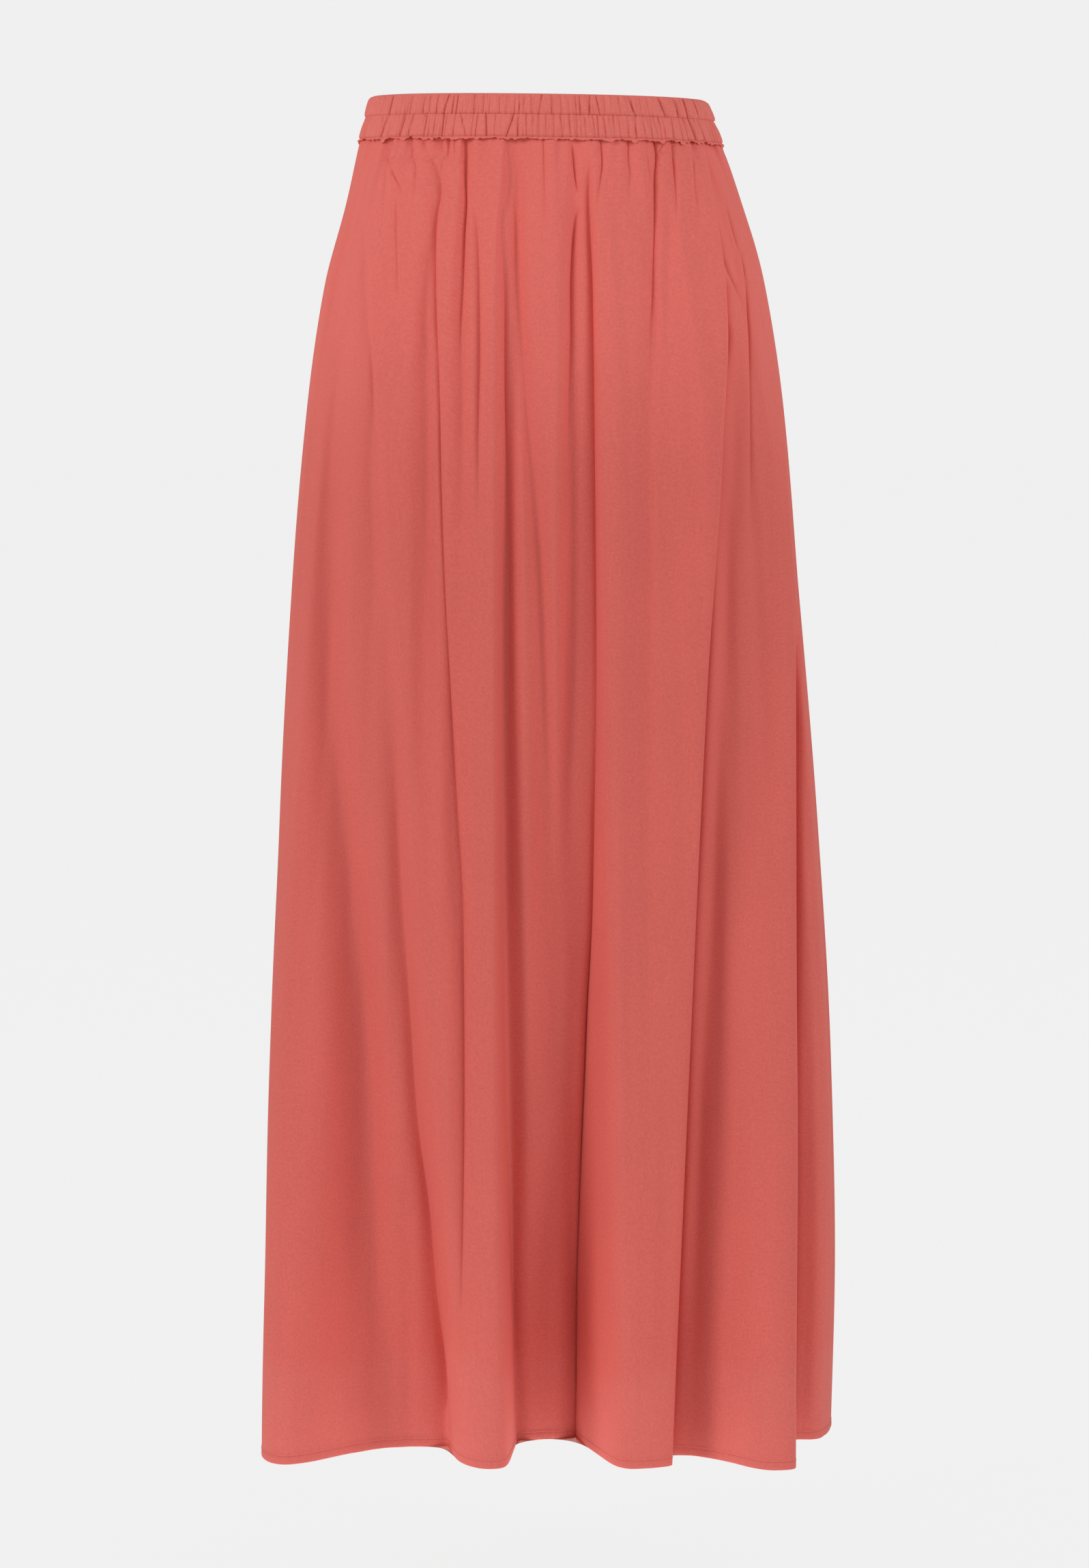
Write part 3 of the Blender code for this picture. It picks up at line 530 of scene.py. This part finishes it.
def running_length(points):
    """Length along rows of points, from 0 at the first."""
    steps = np.linalg.norm(np.diff(points, axis=0), axis=-1)
    return np.concatenate([0 * steps[:1], np.cumsum(steps, axis=0)])


# ------------------------------------------------------------------ the ring at one height

def section_size(name, height):
    return smooth([row.height for row in SECTIONS], [getattr(row, name) for row in SECTIONS], height)


class Ring:
    """The plain section at one height, sampled from the centre back round to itself."""

    def __init__(self, height):
        self.height = height
        bearing = np.linspace(-np.pi, np.pi, RING_STEPS + 1)
        across, ahead = np.sin(bearing), np.cos(bearing)
        half_x = np.where(across < 0, section_size("right", height), section_size("left", height))
        half_y = np.where(ahead > 0, section_size("front", height), section_size("back", height))
        power = np.where(ahead > 0, section_size("front_power", height),
                         section_size("back_power", height))
        radius = ((np.abs(across) / half_x) ** power
                  + (np.abs(ahead) / half_y) ** power) ** (-1 / power)
        self.degrees = np.degrees(bearing)
        self.x = radius * across
        self.y = -radius * ahead
        out = np.stack([SIDE_PUSH * self.x / half_x ** 2, self.y / half_y ** 2])
        self.out = out / np.linalg.norm(out, axis=0)
        around = running_length(np.stack([self.x, self.y], axis=1))
        self.around = around - np.interp(0.0, bearing, around)
        self.length = around[-1]

    def at_bearing(self, degrees):
        return np.interp(degrees, self.degrees, self.around)

    def place(self, view, value):
        """Distance round the ring of a place read as x (front, back) or y (right, left)."""
        side = {"front": np.abs(self.degrees) <= 90, "back": np.abs(self.degrees) >= 90,
                "left": self.degrees > 0, "right": self.degrees < 0}[view]
        read = (self.x if view in ("front", "back") else self.y)[side]
        around = self.around[side]
        if view == "back":
            around = np.where(around < 0, around + self.length, around)
        order = np.argsort(read)
        return np.interp(value, read[order], around[order])

    def beyond(self, edge):
        """Start and end of the stretch past x at an edge of the front, round the back."""
        return self.place("front", edge), self.place("front", -edge) + self.length

    def away(self, place):
        """Signed distance of each point round the ring from a place, the short way."""
        half = self.length / 2
        return (self.around - place + half) % self.length - half

    def moved(self, out, along):
        """The ring's points, moved out and along it."""
        x = self.x + self.out[0] * out - self.out[1] * along
        y = self.y + self.out[1] * out + self.out[0] * along
        return x, y

    def read(self, values, places):
        return np.interp(places, self.around, values, period=self.length)


# ------------------------------------------------------------------ folds, gathers and lines

def fold_line(fold, ring):
    return ring.place(fold.view, smooth(LEVELS, fold.place, ring.height))


def ridge_shift(fold, ring):
    """How far one row of RIDGES moves each point of the ring: out, and along the ring."""
    turn = ring.away(fold_line(fold, ring)) / between(fold.width, ring.height)
    return smooth(LEVELS, fold.depth, ring.height) * bell(turn), 0.0


def step_shift(fold, ring):
    """The same for one row of STEPS."""
    depth = smooth(LEVELS, fold.depth, ring.height)
    distance = ring.away(fold_line(fold, ring))
    turn = distance / between(fold.width, ring.height)
    reach = between(fold.reach, ring.height)
    lap = between(fold.lap, ring.height) * min(abs(depth) / FULL_LAP_DEPTH, 1.0)
    return -depth / 2 * np.tanh(STEP_TURN * turn) * bell(distance / reach), lap * closing(turn)


def line_shift(line, ring):
    """The same for one row of LINES."""
    down = -ring.height
    if not min(line.down) < down < max(line.down):
        return 0.0, 0.0
    valley = smooth(line.down, line.valley, down)
    turn = ring.away(ring.place("front", smooth(line.down, line.place, down))) / line.width
    out = -valley * bell(turn)
    if line.step:
        out += smooth(line.down, line.step, down) / 2 * np.tanh(turn) * bell(turn / STEP_REACH)
    return out, line.pinch * line.width * valley / max(np.abs(line.valley)) * closing(turn)


def gather_shift(row, ring, seam_length):
    below = max(LEVELS[0] - ring.height, 0.0)
    spread = ring.length / seam_length
    turn = ring.away(row.place * spread) / (row.width * spread ** 2)
    return -row.depth * np.exp(-(below / row.fade) ** FADE_POWER) * bell(turn)


def gathers(seam):
    """All larger gathers, with the place given as a distance round the seam's ring."""
    rows = [row._replace(place=seam.place("front", row.place)) for row in FRONT_GATHERS]
    start, end = seam.beyond(FRONT_GATHER_EDGE)
    count = int((end - start) / GATHER_PITCH)
    for i in range(count + 1):
        rows.append(Gather(start + (end - start) * (i + sway(GATHER_SPACING, i)) / count,
                           GATHER.depth * (1 + sway(GATHER_STRENGTH, i)), GATHER.width,
                           GATHER.fade * (1 + sway(GATHER_RUN, i))))
    return rows


def small_gathers(seam):
    """The small gathers between the larger ones."""
    return [Gather(place, SMALL_GATHER.depth * chance.uniform(*SMALL_GATHER_DEPTH),
                   SMALL_GATHER.width, SMALL_GATHER.fade * chance.uniform(*SMALL_GATHER_FADE))
            for place, chance in uneven(SMALL_GATHER_LOOP, seam.around[0], seam.around[-1])]


class Cloth:
    """The folded cloth of the panels, at any height."""

    def __init__(self):
        seam = Ring(LEVELS[0])
        self.seam_length = seam.length
        self.gathers = gathers(seam) + small_gathers(seam)

    def at(self, height, out=0.0):
        """Ring and points of the folded cloth's outer face at one height."""
        ring = Ring(height)
        folded = sum(gather_shift(row, ring, self.seam_length) for row in self.gathers)
        along = np.zeros_like(folded)
        for shift, rows in ((ridge_shift, RIDGES), (step_shift, STEPS), (line_shift, LINES)):
            for row in rows:
                shift_out, shift_along = shift(row, ring)
                folded += shift_out
                along += shift_along
        tucked = share_between(LEVELS[0], LEVELS[0] + TUCK, height)
        out = out + folded * (1 - (1 - TUCK_SHARE) * tucked ** 2) - TUCK_IN * tucked
        below = max(SWELL_TOP - height, 0.0)
        rise = 1 - math.exp(-(below / SWELL_RISE) ** 2)
        out += SWELL * rise * math.exp(-(below / SWELL_FADE) ** 2)
        for bearing in SEAM_BEARING.values():
            out -= SEAM_DIP * np.exp(-(ring.away(ring.at_bearing(bearing)) / SEAM_WIDTH) ** 2)
        slack = share_between(LEVELS[0], LEVELS[0] - SLACK_START, height)
        out += slack * waves(SLACK, ring.around / ring.length, height)
        return ring, *ring.moved(out, along)


# ------------------------------------------------------------------ meshes

def grid_faces(rows, columns, closed=False):
    """Quads of a grid of points whose rows run down and whose columns run round."""
    i, j = np.meshgrid(np.arange(rows - 1), np.arange(columns if closed else columns - 1),
                       indexing="ij")
    right = (j + 1) % columns
    return np.stack([i * columns + j, (i + 1) * columns + j, (i + 1) * columns + right,
                     i * columns + right], axis=-1).reshape(-1, 4)


def new_object(name, data):
    thing = bpy.data.objects.new(name, data)
    bpy.context.collection.objects.link(thing)
    return thing


def new_mesh_object(name, points, faces, material):
    """An object in metres from points in millimetres."""
    mesh = bpy.data.meshes.new(name)
    mesh.from_pydata((points.reshape(-1, 3) * MM).tolist(), [], faces)
    mesh.materials.append(material)
    mesh.shade_smooth()
    return new_object(name, mesh)


def add_map(thing, u, v):
    """The map of the weave, in metres of cloth, from a pair of values in mm for each point."""
    mesh = thing.data
    corners = np.zeros(len(mesh.loops), np.int32)
    mesh.loops.foreach_get("vertex_index", corners)
    pairs = np.stack([u.ravel()[corners], v.ravel()[corners]], axis=1) * MM
    mesh.uv_layers.new(name="weave").uv.foreach_set("vector", pairs.astype(np.float32).ravel())


# ------------------------------------------------------------------ a panel's shell

def seam_places(ring, name):
    """Where a panel starts and ends round the ring, half the seam gap inside each side seam."""
    right = ring.at_bearing(SEAM_BEARING["right"])
    left = ring.at_bearing(SEAM_BEARING["left"])
    inset = SEAM_GAP / 2
    if name == "front_panel":
        return right + inset, left - inset
    return left + inset, right + ring.length - inset


def anchors(ring, name):
    """Places round the ring that keep their own column: the side seams and the lapped folds."""
    start, end = seam_places(ring, name)
    lines = [fold_line(fold, ring) for fold in STEPS]
    lines = [line + ring.length if line < start else line for line in lines]
    return [start] + sorted(line for line in lines if start < line < end) + [end]


def bend_measure(ring, x, y, steps):
    """Length of the folded cloth up to each step, with its bends counted in."""
    dx, dy = np.diff(ring.read(x, steps)), np.diff(ring.read(y, steps))
    heading = np.unwrap(np.arctan2(dy, dx))
    bend = np.concatenate([[0], np.abs(np.diff(heading))])
    return np.concatenate([[0], np.cumsum(np.hypot(dx, dy) + BEND_SHARE * bend)])


def inward(ring, x, y, places):
    """Directions into the skirt at right angles to the cloth, in plan, at places round the ring."""
    nx = -ring.read(np.gradient(y, ring.around), places)
    ny = ring.read(np.gradient(x, ring.around), places)
    return np.stack([nx, ny, np.zeros_like(nx)], axis=1) / np.hypot(nx, ny)[:, None]


def panel_heights():
    """(height, how far out, thickness) for each row of a panel."""
    rows = []
    for top, foot, step in PANEL_ROWS:
        count = round((top - foot) / step)
        rows += [(height, 0.0, CLOTH) for height in np.linspace(top, foot, count + 1)[:-1]]
    return rows + [(foot, 0.0, CLOTH), *HEM_ROWS]


def panel_grids(cloth, name):
    """Outer and inner points of a panel's shell, as arrays of rows, columns and coordinates."""
    rows = panel_heights()
    folded = [cloth.at(height, out) for height, out, _ in rows]
    spans, measures = [], []
    for ring, x, y in folded:
        places = anchors(ring, name)
        spans.append([np.linspace(a, b, SPAN_STEPS) for a, b in zip(places[:-1], places[1:])])
        measures.append([bend_measure(ring, x, y, span) for span in spans[-1]])
    mean = np.mean([[measure[-1] for measure in row] for row in measures], axis=0)
    ends = np.round(np.cumsum(mean) / mean.sum() * PANEL_COLUMNS).astype(int)
    counts = np.diff(ends, prepend=0)

    outer, inner = [], []
    for (ring, x, y), row_spans, row_measures, (height, _, wall) in zip(folded, spans, measures, rows):
        places = [row_spans[0][0]]
        for span, measure, count in zip(row_spans, row_measures, counts):
            places.extend(np.interp(measure[-1] * np.arange(1, count + 1) / count, measure, span))
        px, py = ring.read(x, places), ring.read(y, places)
        outer.append(np.stack([px, py, tilted(px, height)], axis=1))
        inner.append(outer[-1] + wall * inward(ring, x, y, places))
    return np.array(outer), np.array(inner)


def make_panel(cloth, name, material):
    """A panel's closed shell."""
    outer, inner = panel_grids(cloth, name)
    rows, columns = outer.shape[:2]
    sheet = rows * columns
    quads = grid_faces(rows, columns)
    edge = np.concatenate([np.arange(columns), np.arange(1, rows) * columns + columns - 1,
                           sheet - 1 - np.arange(1, columns), np.arange(rows - 2, 0, -1) * columns])
    following = np.roll(edge, -1)
    rim = np.stack([edge, following, sheet + following, sheet + edge], axis=1)
    faces = np.concatenate([quads, sheet + quads[:, ::-1], rim]).tolist()
    thing = new_mesh_object(name + "_cloth", np.stack([outer, inner]), faces, material)
    across = np.broadcast_to(running_length(outer[-1]), (2, rows, columns))
    add_map(thing, across, np.broadcast_to(running_length(outer), (2, rows, columns)))
    return thing


# ------------------------------------------------------------------ the waistband's shell

def main_crease(place, depth, slant=0.0):
    width = np.interp(depth, CREASE_DEPTHS, CREASE_WIDTH)
    return BandCrease(place, CREASE_GAIN * depth, slant, width, 1.0, 1.0)


def casing_creases(rows, casing):
    """Main creases of one casing, placed round the middle ring: as listed on the front."""
    ring = Ring(0.0)
    made = [main_crease(ring.place("front", place), *row) for place, *row in rows]
    for place, chance in uneven(CREASE_LOOPS[casing], *ring.beyond(FRONT_CREASE_EDGE[casing]), 1):
        depth = chance.choice(LOOP_CREASE_DEPTHS)
        made.append(main_crease(place, depth, chance.uniform(*LOOP_CREASE_SLANT)))
    return made


def fine_creases(length, casing):
    made = []
    for place, chance in uneven(FINE_LOOPS[casing], -length / 2, length / 2):
        shares = FINE_SHARES[chance.integers(len(FINE_SHARES))]
        made.append(BandCrease(place, chance.uniform(*FINE_DEPTH), chance.uniform(*FINE_SLANT),
                               FINE_WIDTH, *shares))
    return made


def frill_dips():
    """Dips of the frilled edge, placed round the middle ring: as listed on the front."""
    ring = Ring(0.0)
    made = [row._replace(place=ring.place("front", row.place)) for row in FRILL_DIPS]
    for i, (place, chance) in enumerate(uneven(DIP_LOOP, *ring.beyond(FRONT_DIP_EDGE), 1)):
        side = DIP_RISE if i % 2 else 1
        made.append(FrillDip(place, side * chance.uniform(*DIP_DOWN), chance.uniform(*DIP_WIDTH)))
    return made


def fields(rows):
    """The columns of a table of named rows, as arrays under their names."""
    return type(rows[0])(*np.array(rows).T)


class Band:
    """The gathered double casing, at any place of its profile."""

    def __init__(self):
        self.length = Ring(0.0).length
        self.creases = {"upper": casing_creases(UPPER_CREASES, "upper"),
                        "lower": casing_creases(LOWER_CREASES, "lower")}
        self.fine = {casing: fine_creases(self.length, casing) for casing in self.creases}
        self.dips = fields(frill_dips())

    def wrapped(self, distances):
        """Signed distances round the band, the short way."""
        return (distances + self.length / 2) % self.length - self.length / 2

    def crease_sum(self, casing, places, height):
        """How deep all creases of a casing lie together at one height."""
        rows = fields(self.creases[casing] + self.fine[casing])
        above = height - CASING_MIDDLE[casing]
        foot_share = share_between(CASING_HALF[casing], -CASING_HALF[casing], above)
        depths = rows.depth * (rows.top + (rows.foot - rows.top) * foot_share)
        away = self.wrapped(places[:, None] - (rows.place - rows.slant * above))
        return (depths * np.exp(-np.abs(away) / rows.width)).sum(axis=1)

    def puffs(self, casing, places, height):
        """How far the gathered cloth swells between two main creases."""
        rows = fields(self.creases[casing])
        lines = np.sort(self.wrapped(rows.place - rows.slant * (height - CASING_MIDDLE[casing])))
        after = np.searchsorted(lines, places) % len(lines)
        to_after = (lines[after] - places) % self.length
        to_before = (places - lines[after - 1]) % self.length
        gap = to_after + to_before
        return PUFF * np.minimum(gap / PUFF_SPACING, PUFF_MOST) * 4 * to_before * to_after / gap ** 2

    def edge_down(self, places):
        """How far the frilled edge hangs down."""
        turns = self.wrapped(places[:, None] - self.dips.place) / self.dips.width
        dips = (self.dips.down * np.exp(-turns ** 4 / 3)).sum(axis=1)
        return DIP_GAIN * dips + waves(FRILL_DOWN, places / self.length)

    def at(self, places, height, out, upper, lower, frill):
        """Points at places round the middle ring, for one row of the profile."""
        turn = places / self.length
        out = out + waves(CRINKLES, turn, height) * (upper + lower)
        for share, casing in ((upper, "upper"), (lower, "lower")):
            if share > 0:
                out += share * (self.puffs(casing, places, height)
                                - self.crease_sum(casing, places, height))
        down = frill * self.edge_down(places)
        out += frill * waves(FRILL_OUT, turn) + FRILL_OUT_SHARE * np.maximum(down, 0.0)
        ring = Ring(height)
        spots = turn * ring.length
        px = ring.read(ring.x, spots) + ring.read(ring.out[0], spots) * out
        py = ring.read(ring.y, spots) + ring.read(ring.out[1], spots) * out
        return np.stack([px, py, tilted(px, height) - down], axis=1)

    def places(self, count):
        return self.length * (np.arange(count) / count - 0.5)


def band_rows():
    """The waistband's profile as mesh rows: height, out, and the shares of creases and frill."""
    knots = np.arange(len(BAND_LINE) + 1)
    at = np.concatenate([i + np.arange(row.steps) / row.steps for i, row in enumerate(BAND_LINE)])
    profile = np.array(BAND_LINE + BAND_LINE[:1])[:, :-1]
    return np.stack([smooth(knots, values, at) for values in profile.T], axis=1)


def make_band(band, material):
    places = band.places(BAND_COLUMNS)
    rows = np.array([band.at(places, *row) for row in band_rows()])
    shape = rows.shape[:2]
    faces = grid_faces(shape[0] + 1, shape[1], closed=True) % (shape[0] * shape[1])
    thing = new_mesh_object("waistband_cloth", rows, faces.tolist(), material)
    add_map(thing, np.broadcast_to(places, shape), running_length(rows))
    return thing


# ------------------------------------------------------------------ stitches

def hem_line(cloth, name):
    """Points along a panel's hem, in the groove of its row of stitches."""
    ring, x, y = cloth.at(HEM_STITCH_HEIGHT, HEM_STITCH_OUT)
    places = np.linspace(*seam_places(ring, name), RING_STEPS)
    px, py = ring.read(x, places), ring.read(y, places)
    return np.stack([px, py, np.full_like(px, HEM_STITCH_HEIGHT)], axis=1)


def band_line(band, height):
    """Points round the waistband, in the groove of one of its rows of stitches, and back again."""
    row = next(row for row in BAND_LINE if row.height == height)
    line = band.at(band.places(RING_STEPS), *row[:-1])
    return np.concatenate([line, line[:1]])


def make_stitches(name, line, material):
    """A row of short raised stitches along a line of points on the cloth."""
    along = running_length(line)
    count = int(along[-1] / STITCH_PITCH)
    chance = np.random.default_rng(5)
    middles = ((np.arange(count) + 0.5) * along[-1] / count
               + chance.uniform(-STITCH_SLIP, STITCH_SLIP, count))

    def on_line(at):
        return np.stack([np.interp(at, along, line[:, k]) for k in range(3)], axis=1)

    forward = on_line(middles + STITCH_LOOK) - on_line(middles - STITCH_LOOK)
    forward /= np.linalg.norm(forward, axis=1)[:, None]
    away = np.cross(forward, (0.0, 0.0, 1.0))
    away /= np.linalg.norm(away, axis=1)[:, None]
    side = np.cross(away, forward)
    angles = 2 * np.pi * np.arange(STITCH_SIDES) / STITCH_SIDES
    rings = []
    for place, lift, thick in STITCH_SHAPE:
        middle = on_line(middles) + forward * place * STITCH_LENGTH + away * lift * STITCH_RADIUS
        rings.append([middle + STITCH_RADIUS * thick * (math.cos(a) * side + math.sin(a) * away)
                      for a in angles])
    points = np.array(rings).transpose(2, 0, 1, 3)
    size = len(STITCH_SHAPE) * STITCH_SIDES
    starts = np.arange(count)[:, None] * size
    cap = np.arange(STITCH_SIDES)
    sides = (grid_faces(len(STITCH_SHAPE), STITCH_SIDES, closed=True) + starts[:, None]).reshape(-1, 4)
    faces = sides.tolist() + (cap + starts).tolist() + (size - 1 - cap + starts).tolist()
    return new_mesh_object(name, points, faces, material)


# ------------------------------------------------------------------ materials

class Nodes:
    """Adds shader nodes to a material or a world and joins them."""

    def __init__(self, holder, shader="Principled BSDF"):
        holder.use_nodes = True
        self.tree = holder.node_tree
        self.shader = self.tree.nodes[shader]

    def set(self, values):
        for name, value in values.items():
            self.shader.inputs[name].default_value = value

    def feed(self, name, source):
        self.tree.links.new(source, self.shader.inputs[name])

    def add(self, kind, *links, **settings):
        node = self.tree.nodes.new(kind)
        for key, value in settings.items():
            if key in node.bl_rna.properties:
                setattr(node, key, value)
            else:
                node.inputs[key.replace("_", " ")].default_value = value
        for socket, source in links:
            self.tree.links.new(source, node.inputs[socket])
        return node

    def noise(self, coordinates, across, down, detail, roughness=0.6):
        """Noise whose cells are this many millimetres wide and long in the cloth."""
        scale = self.add("ShaderNodeVectorMath", (0, coordinates), operation="MULTIPLY")
        scale.inputs[1].default_value = (1 / (across * MM), 1 / (down * MM), 1 / (down * MM))
        noise = self.add("ShaderNodeTexNoise", ("Vector", scale.outputs[0]), Scale=1.0,
                         Detail=detail, Roughness=roughness)
        return noise.outputs["Fac"]

    def spread(self, source, low, high, span=(0.3, 0.7), **settings):
        """Maps a span of a source, such as the middle of a noise's range, to low and high."""
        node = self.add("ShaderNodeMapRange", ("Value", source), From_Min=span[0], From_Max=span[1],
                        To_Min=low, To_Max=high, **settings)
        return node.outputs["Result"]

    def plus(self, first, second, operation="ADD"):
        node = self.add("ShaderNodeMath", (0, first), operation=operation)
        if isinstance(second, float):
            node.inputs[1].default_value = second
        else:
            self.tree.links.new(second, node.inputs[1])
        return node.outputs[0]

    def times(self, first, second):
        return self.plus(first, second, "MULTIPLY")

    def toned(self, colour, tone):
        """A colour made lighter or darker by a tone."""
        node = self.add("ShaderNodeVectorMath", ("Scale", tone), operation="SCALE")
        node.inputs[0].default_value = colour
        return node.outputs[0]


def new_material(name, finish):
    material = bpy.data.materials.new(name)
    nodes = Nodes(material)
    nodes.set({
        "Base Color": (*finish.colour, 1.0),
        "Roughness": finish.roughness,
        "Specular IOR Level": 0.15,
        "Subsurface Weight": THINNESS[0],
        "Subsurface Radius": (1.0, 0.6, 0.5),
        "Subsurface Scale": THIN_REACH,
        "Sheen Weight": finish.sheen,
        "Sheen Roughness": 0.45,
        "Sheen Tint": (1.0, 0.45, 0.35, 1.0),
    })
    return material, nodes


def cloth_material(name, finish, lined_with_painted_light):
    """Plain weave: slubs along both threads, a soft mottle, specks and the weave's own relief; on cloth
    with a lining, painted light and shade at the waist and at the lining's edge.
    """
    material, nodes = new_material(name, finish)
    cloth = nodes.add("ShaderNodeUVMap", uv_map="weave").outputs["UV"]
    noise = {key: nodes.noise(cloth, *row) for key, row in NOISES.items()}
    tone = nodes.spread(noise["warp"], 1 - finish.streak, 1 + finish.streak)
    weft_streak = finish.streak * WEFT_SHARE
    tone = nodes.times(tone, nodes.spread(noise["weft"], 1 - weft_streak, 1 + weft_streak))
    for key in ("mottle", "cloud", "fleck"):
        tone = nodes.times(tone, nodes.spread(noise[key], *MOTTLE))
    bloom_and_painted_light = nodes.plus(nodes.spread(noise["fleck"], -BLOOM, BLOOM),
                       nodes.spread(noise["speck"], 0.0, SPECK_BLOOM, SPECK_RANGE))
    if lined_with_painted_light:
        down = nodes.add("ShaderNodeSeparateXYZ", (0, cloth)).outputs["Y"]
        # Painted light: the cloth is painted lighter towards the waist, where the light from above falls
        # brighter.
        pale = nodes.spread(down, TOP_PAINTED_LIGHT_TONE - 1, 0.0, TOP_PAINTED_LIGHT_REACH, interpolation_type="SMOOTHSTEP")
        tone = nodes.times(tone, nodes.plus(pale, 1.0))
        bloom_and_painted_light = nodes.plus(bloom_and_painted_light, nodes.times(pale, TOP_PAINTED_LIGHT_BLOOM))
        # Painted light and shade where the unbuilt half lining stops: below its edge the cloth is painted
        # paler, with its tone a little darker.
        unlined = nodes.spread(down, 0.0, 1.0, (LINING_END - LINING_FADE, LINING_END + LINING_FADE),
                               interpolation_type="SMOOTHSTEP")
        bloom_and_painted_light = nodes.plus(bloom_and_painted_light, nodes.times(unlined, UNLINED_PAINTED_LIGHT))
        darker = nodes.times(unlined, UNLINED_PAINTED_SHADE - 1)
        tone = nodes.times(tone, nodes.plus(darker, 1.0))
        thinner = nodes.times(unlined, THINNESS[1] - THINNESS[0])
        nodes.feed("Subsurface Weight", nodes.plus(thinner, THINNESS[0]))
    colour_with_painted_light = nodes.add("ShaderNodeVectorMath", (0, nodes.toned(finish.colour, tone)), (1, bloom_and_painted_light),
                        operation="ADD")
    nodes.feed("Base Color", colour_with_painted_light.outputs[0])
    threads = nodes.plus(noise["warp"], noise["weft"])
    relief = nodes.plus(threads, nodes.times(noise["fleck"], FLECK_RELIEF))
    bump = nodes.add("ShaderNodeBump", ("Height", relief), Strength=0.35, Distance=RELIEF)
    nodes.feed("Normal", bump.outputs["Normal"])
    return material


def thread_material():
    """Sewing thread in the cloth's colour, a little darker, with its own fine twist."""
    material, nodes = new_material("thread", THREAD_FINISH)
    place = nodes.add("ShaderNodeTexCoord").outputs["Object"]
    twist = nodes.noise(place, THREAD_TWIST, THREAD_TWIST, 2.0, roughness=0.5)
    nodes.feed("Base Color", nodes.toned(THREAD_FINISH.colour, nodes.spread(twist, *THREAD_TONE)))
    return material


# ------------------------------------------------------------------ stage, light and camera

def seen_or_light(nodes, seen, light):
    """A value that differs between what the camera sees and what gives light."""
    ray = nodes.add("ShaderNodeLightPath").outputs["Is Camera Ray"]
    return nodes.spread(ray, light, seen, (0.0, 1.0))


def make_stage():
    """A plain pale floor that meets a background of the same brightness."""
    material = bpy.data.materials.new("floor")
    nodes = Nodes(material)
    nodes.set({
        "Base Color": (FLOOR_COLOUR, FLOOR_COLOUR, FLOOR_COLOUR, 1.0),
        "Roughness": 1.0,
        "Specular IOR Level": 0.0,
        "Emission Color": (1.0, 1.0, 1.0, 1.0),
    })
    nodes.feed("Emission Strength", seen_or_light(nodes, FLOOR_GLOW, FLOOR_LIGHT))
    half = FLOOR_SIZE / 2
    corners = np.array([(-half, -half, FLOOR_HEIGHT), (half, -half, FLOOR_HEIGHT),
                        (half, half, FLOOR_HEIGHT), (-half, half, FLOOR_HEIGHT)])
    new_mesh_object("floor", corners, [[0, 1, 2, 3]], material)


def make_light():
    """A pale studio that fills the shadows, and the lamps."""
    world = bpy.data.worlds.new("studio")
    bpy.context.scene.world = world
    nodes = Nodes(world, "Background")
    nodes.set({"Color": (1.0, 1.0, 1.0, 1.0)})
    nodes.feed("Strength", seen_or_light(nodes, STUDIO_SEEN, STUDIO_LIGHT))
    for row in LAMPS:
        lamp = bpy.data.lights.new(row.name, "AREA")
        lamp.shape = "DISK"
        lamp.size = row.size
        lamp.energy = row.power
        light = new_object(row.name, lamp)
        light.location = row.place
        aim = Vector(row.aim) - Vector(row.place)
        light.rotation_euler = aim.to_track_quat("-Z", "Y").to_euler()
        light.visible_camera = False
    bpy.context.scene.view_settings.view_transform = "Standard"


def make_camera():
    lens = bpy.data.cameras.new("camera")
    lens.sensor_fit = "VERTICAL"
    lens.sensor_height = CAMERA_SENSOR
    lens.sensor_width = CAMERA_SENSOR
    lens.lens = CAMERA_LENS
    camera = new_object("camera", lens)
    camera.location = CAMERA_PLACE
    camera.rotation_euler = (math.radians(90 - CAMERA_DOWN), 0.0, 0.0)
    bpy.context.scene.camera = camera


# ------------------------------------------------------------------ the whole skirt

def main():
    cloth_finish = cloth_material("cloth", CLOTH_FINISH, lined_with_painted_light=True)
    band_top_lit_material = cloth_material("band_cloth", BAND_TOP_LIT_FINISH, lined_with_painted_light=False)
    thread = thread_material()
    cloth = Cloth()
    band = Band()

    panels = {name: make_panel(cloth, name, cloth_finish) for name in ("front_panel", "back_panel")}
    for name, panel in panels.items():
        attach(panel, "root")
        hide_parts(name)

    waistband = make_band(band, band_top_lit_material)
    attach(waistband, "root")
    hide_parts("waistband")

    rows = {name: make_stitches(name, line, thread) for name, line in {
        "stitches_middle": band_line(band, MIDDLE_STITCH),
        "stitches_lower": band_line(band, LOWER_STITCH),
        "hem_stitches_front": hem_line(cloth, "front_panel"),
        "hem_stitches_back": hem_line(cloth, "back_panel"),
    }.items()}
    for name, row in rows.items():
        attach(row, "root")

    make_stage()
    make_light()
    make_camera()


main()
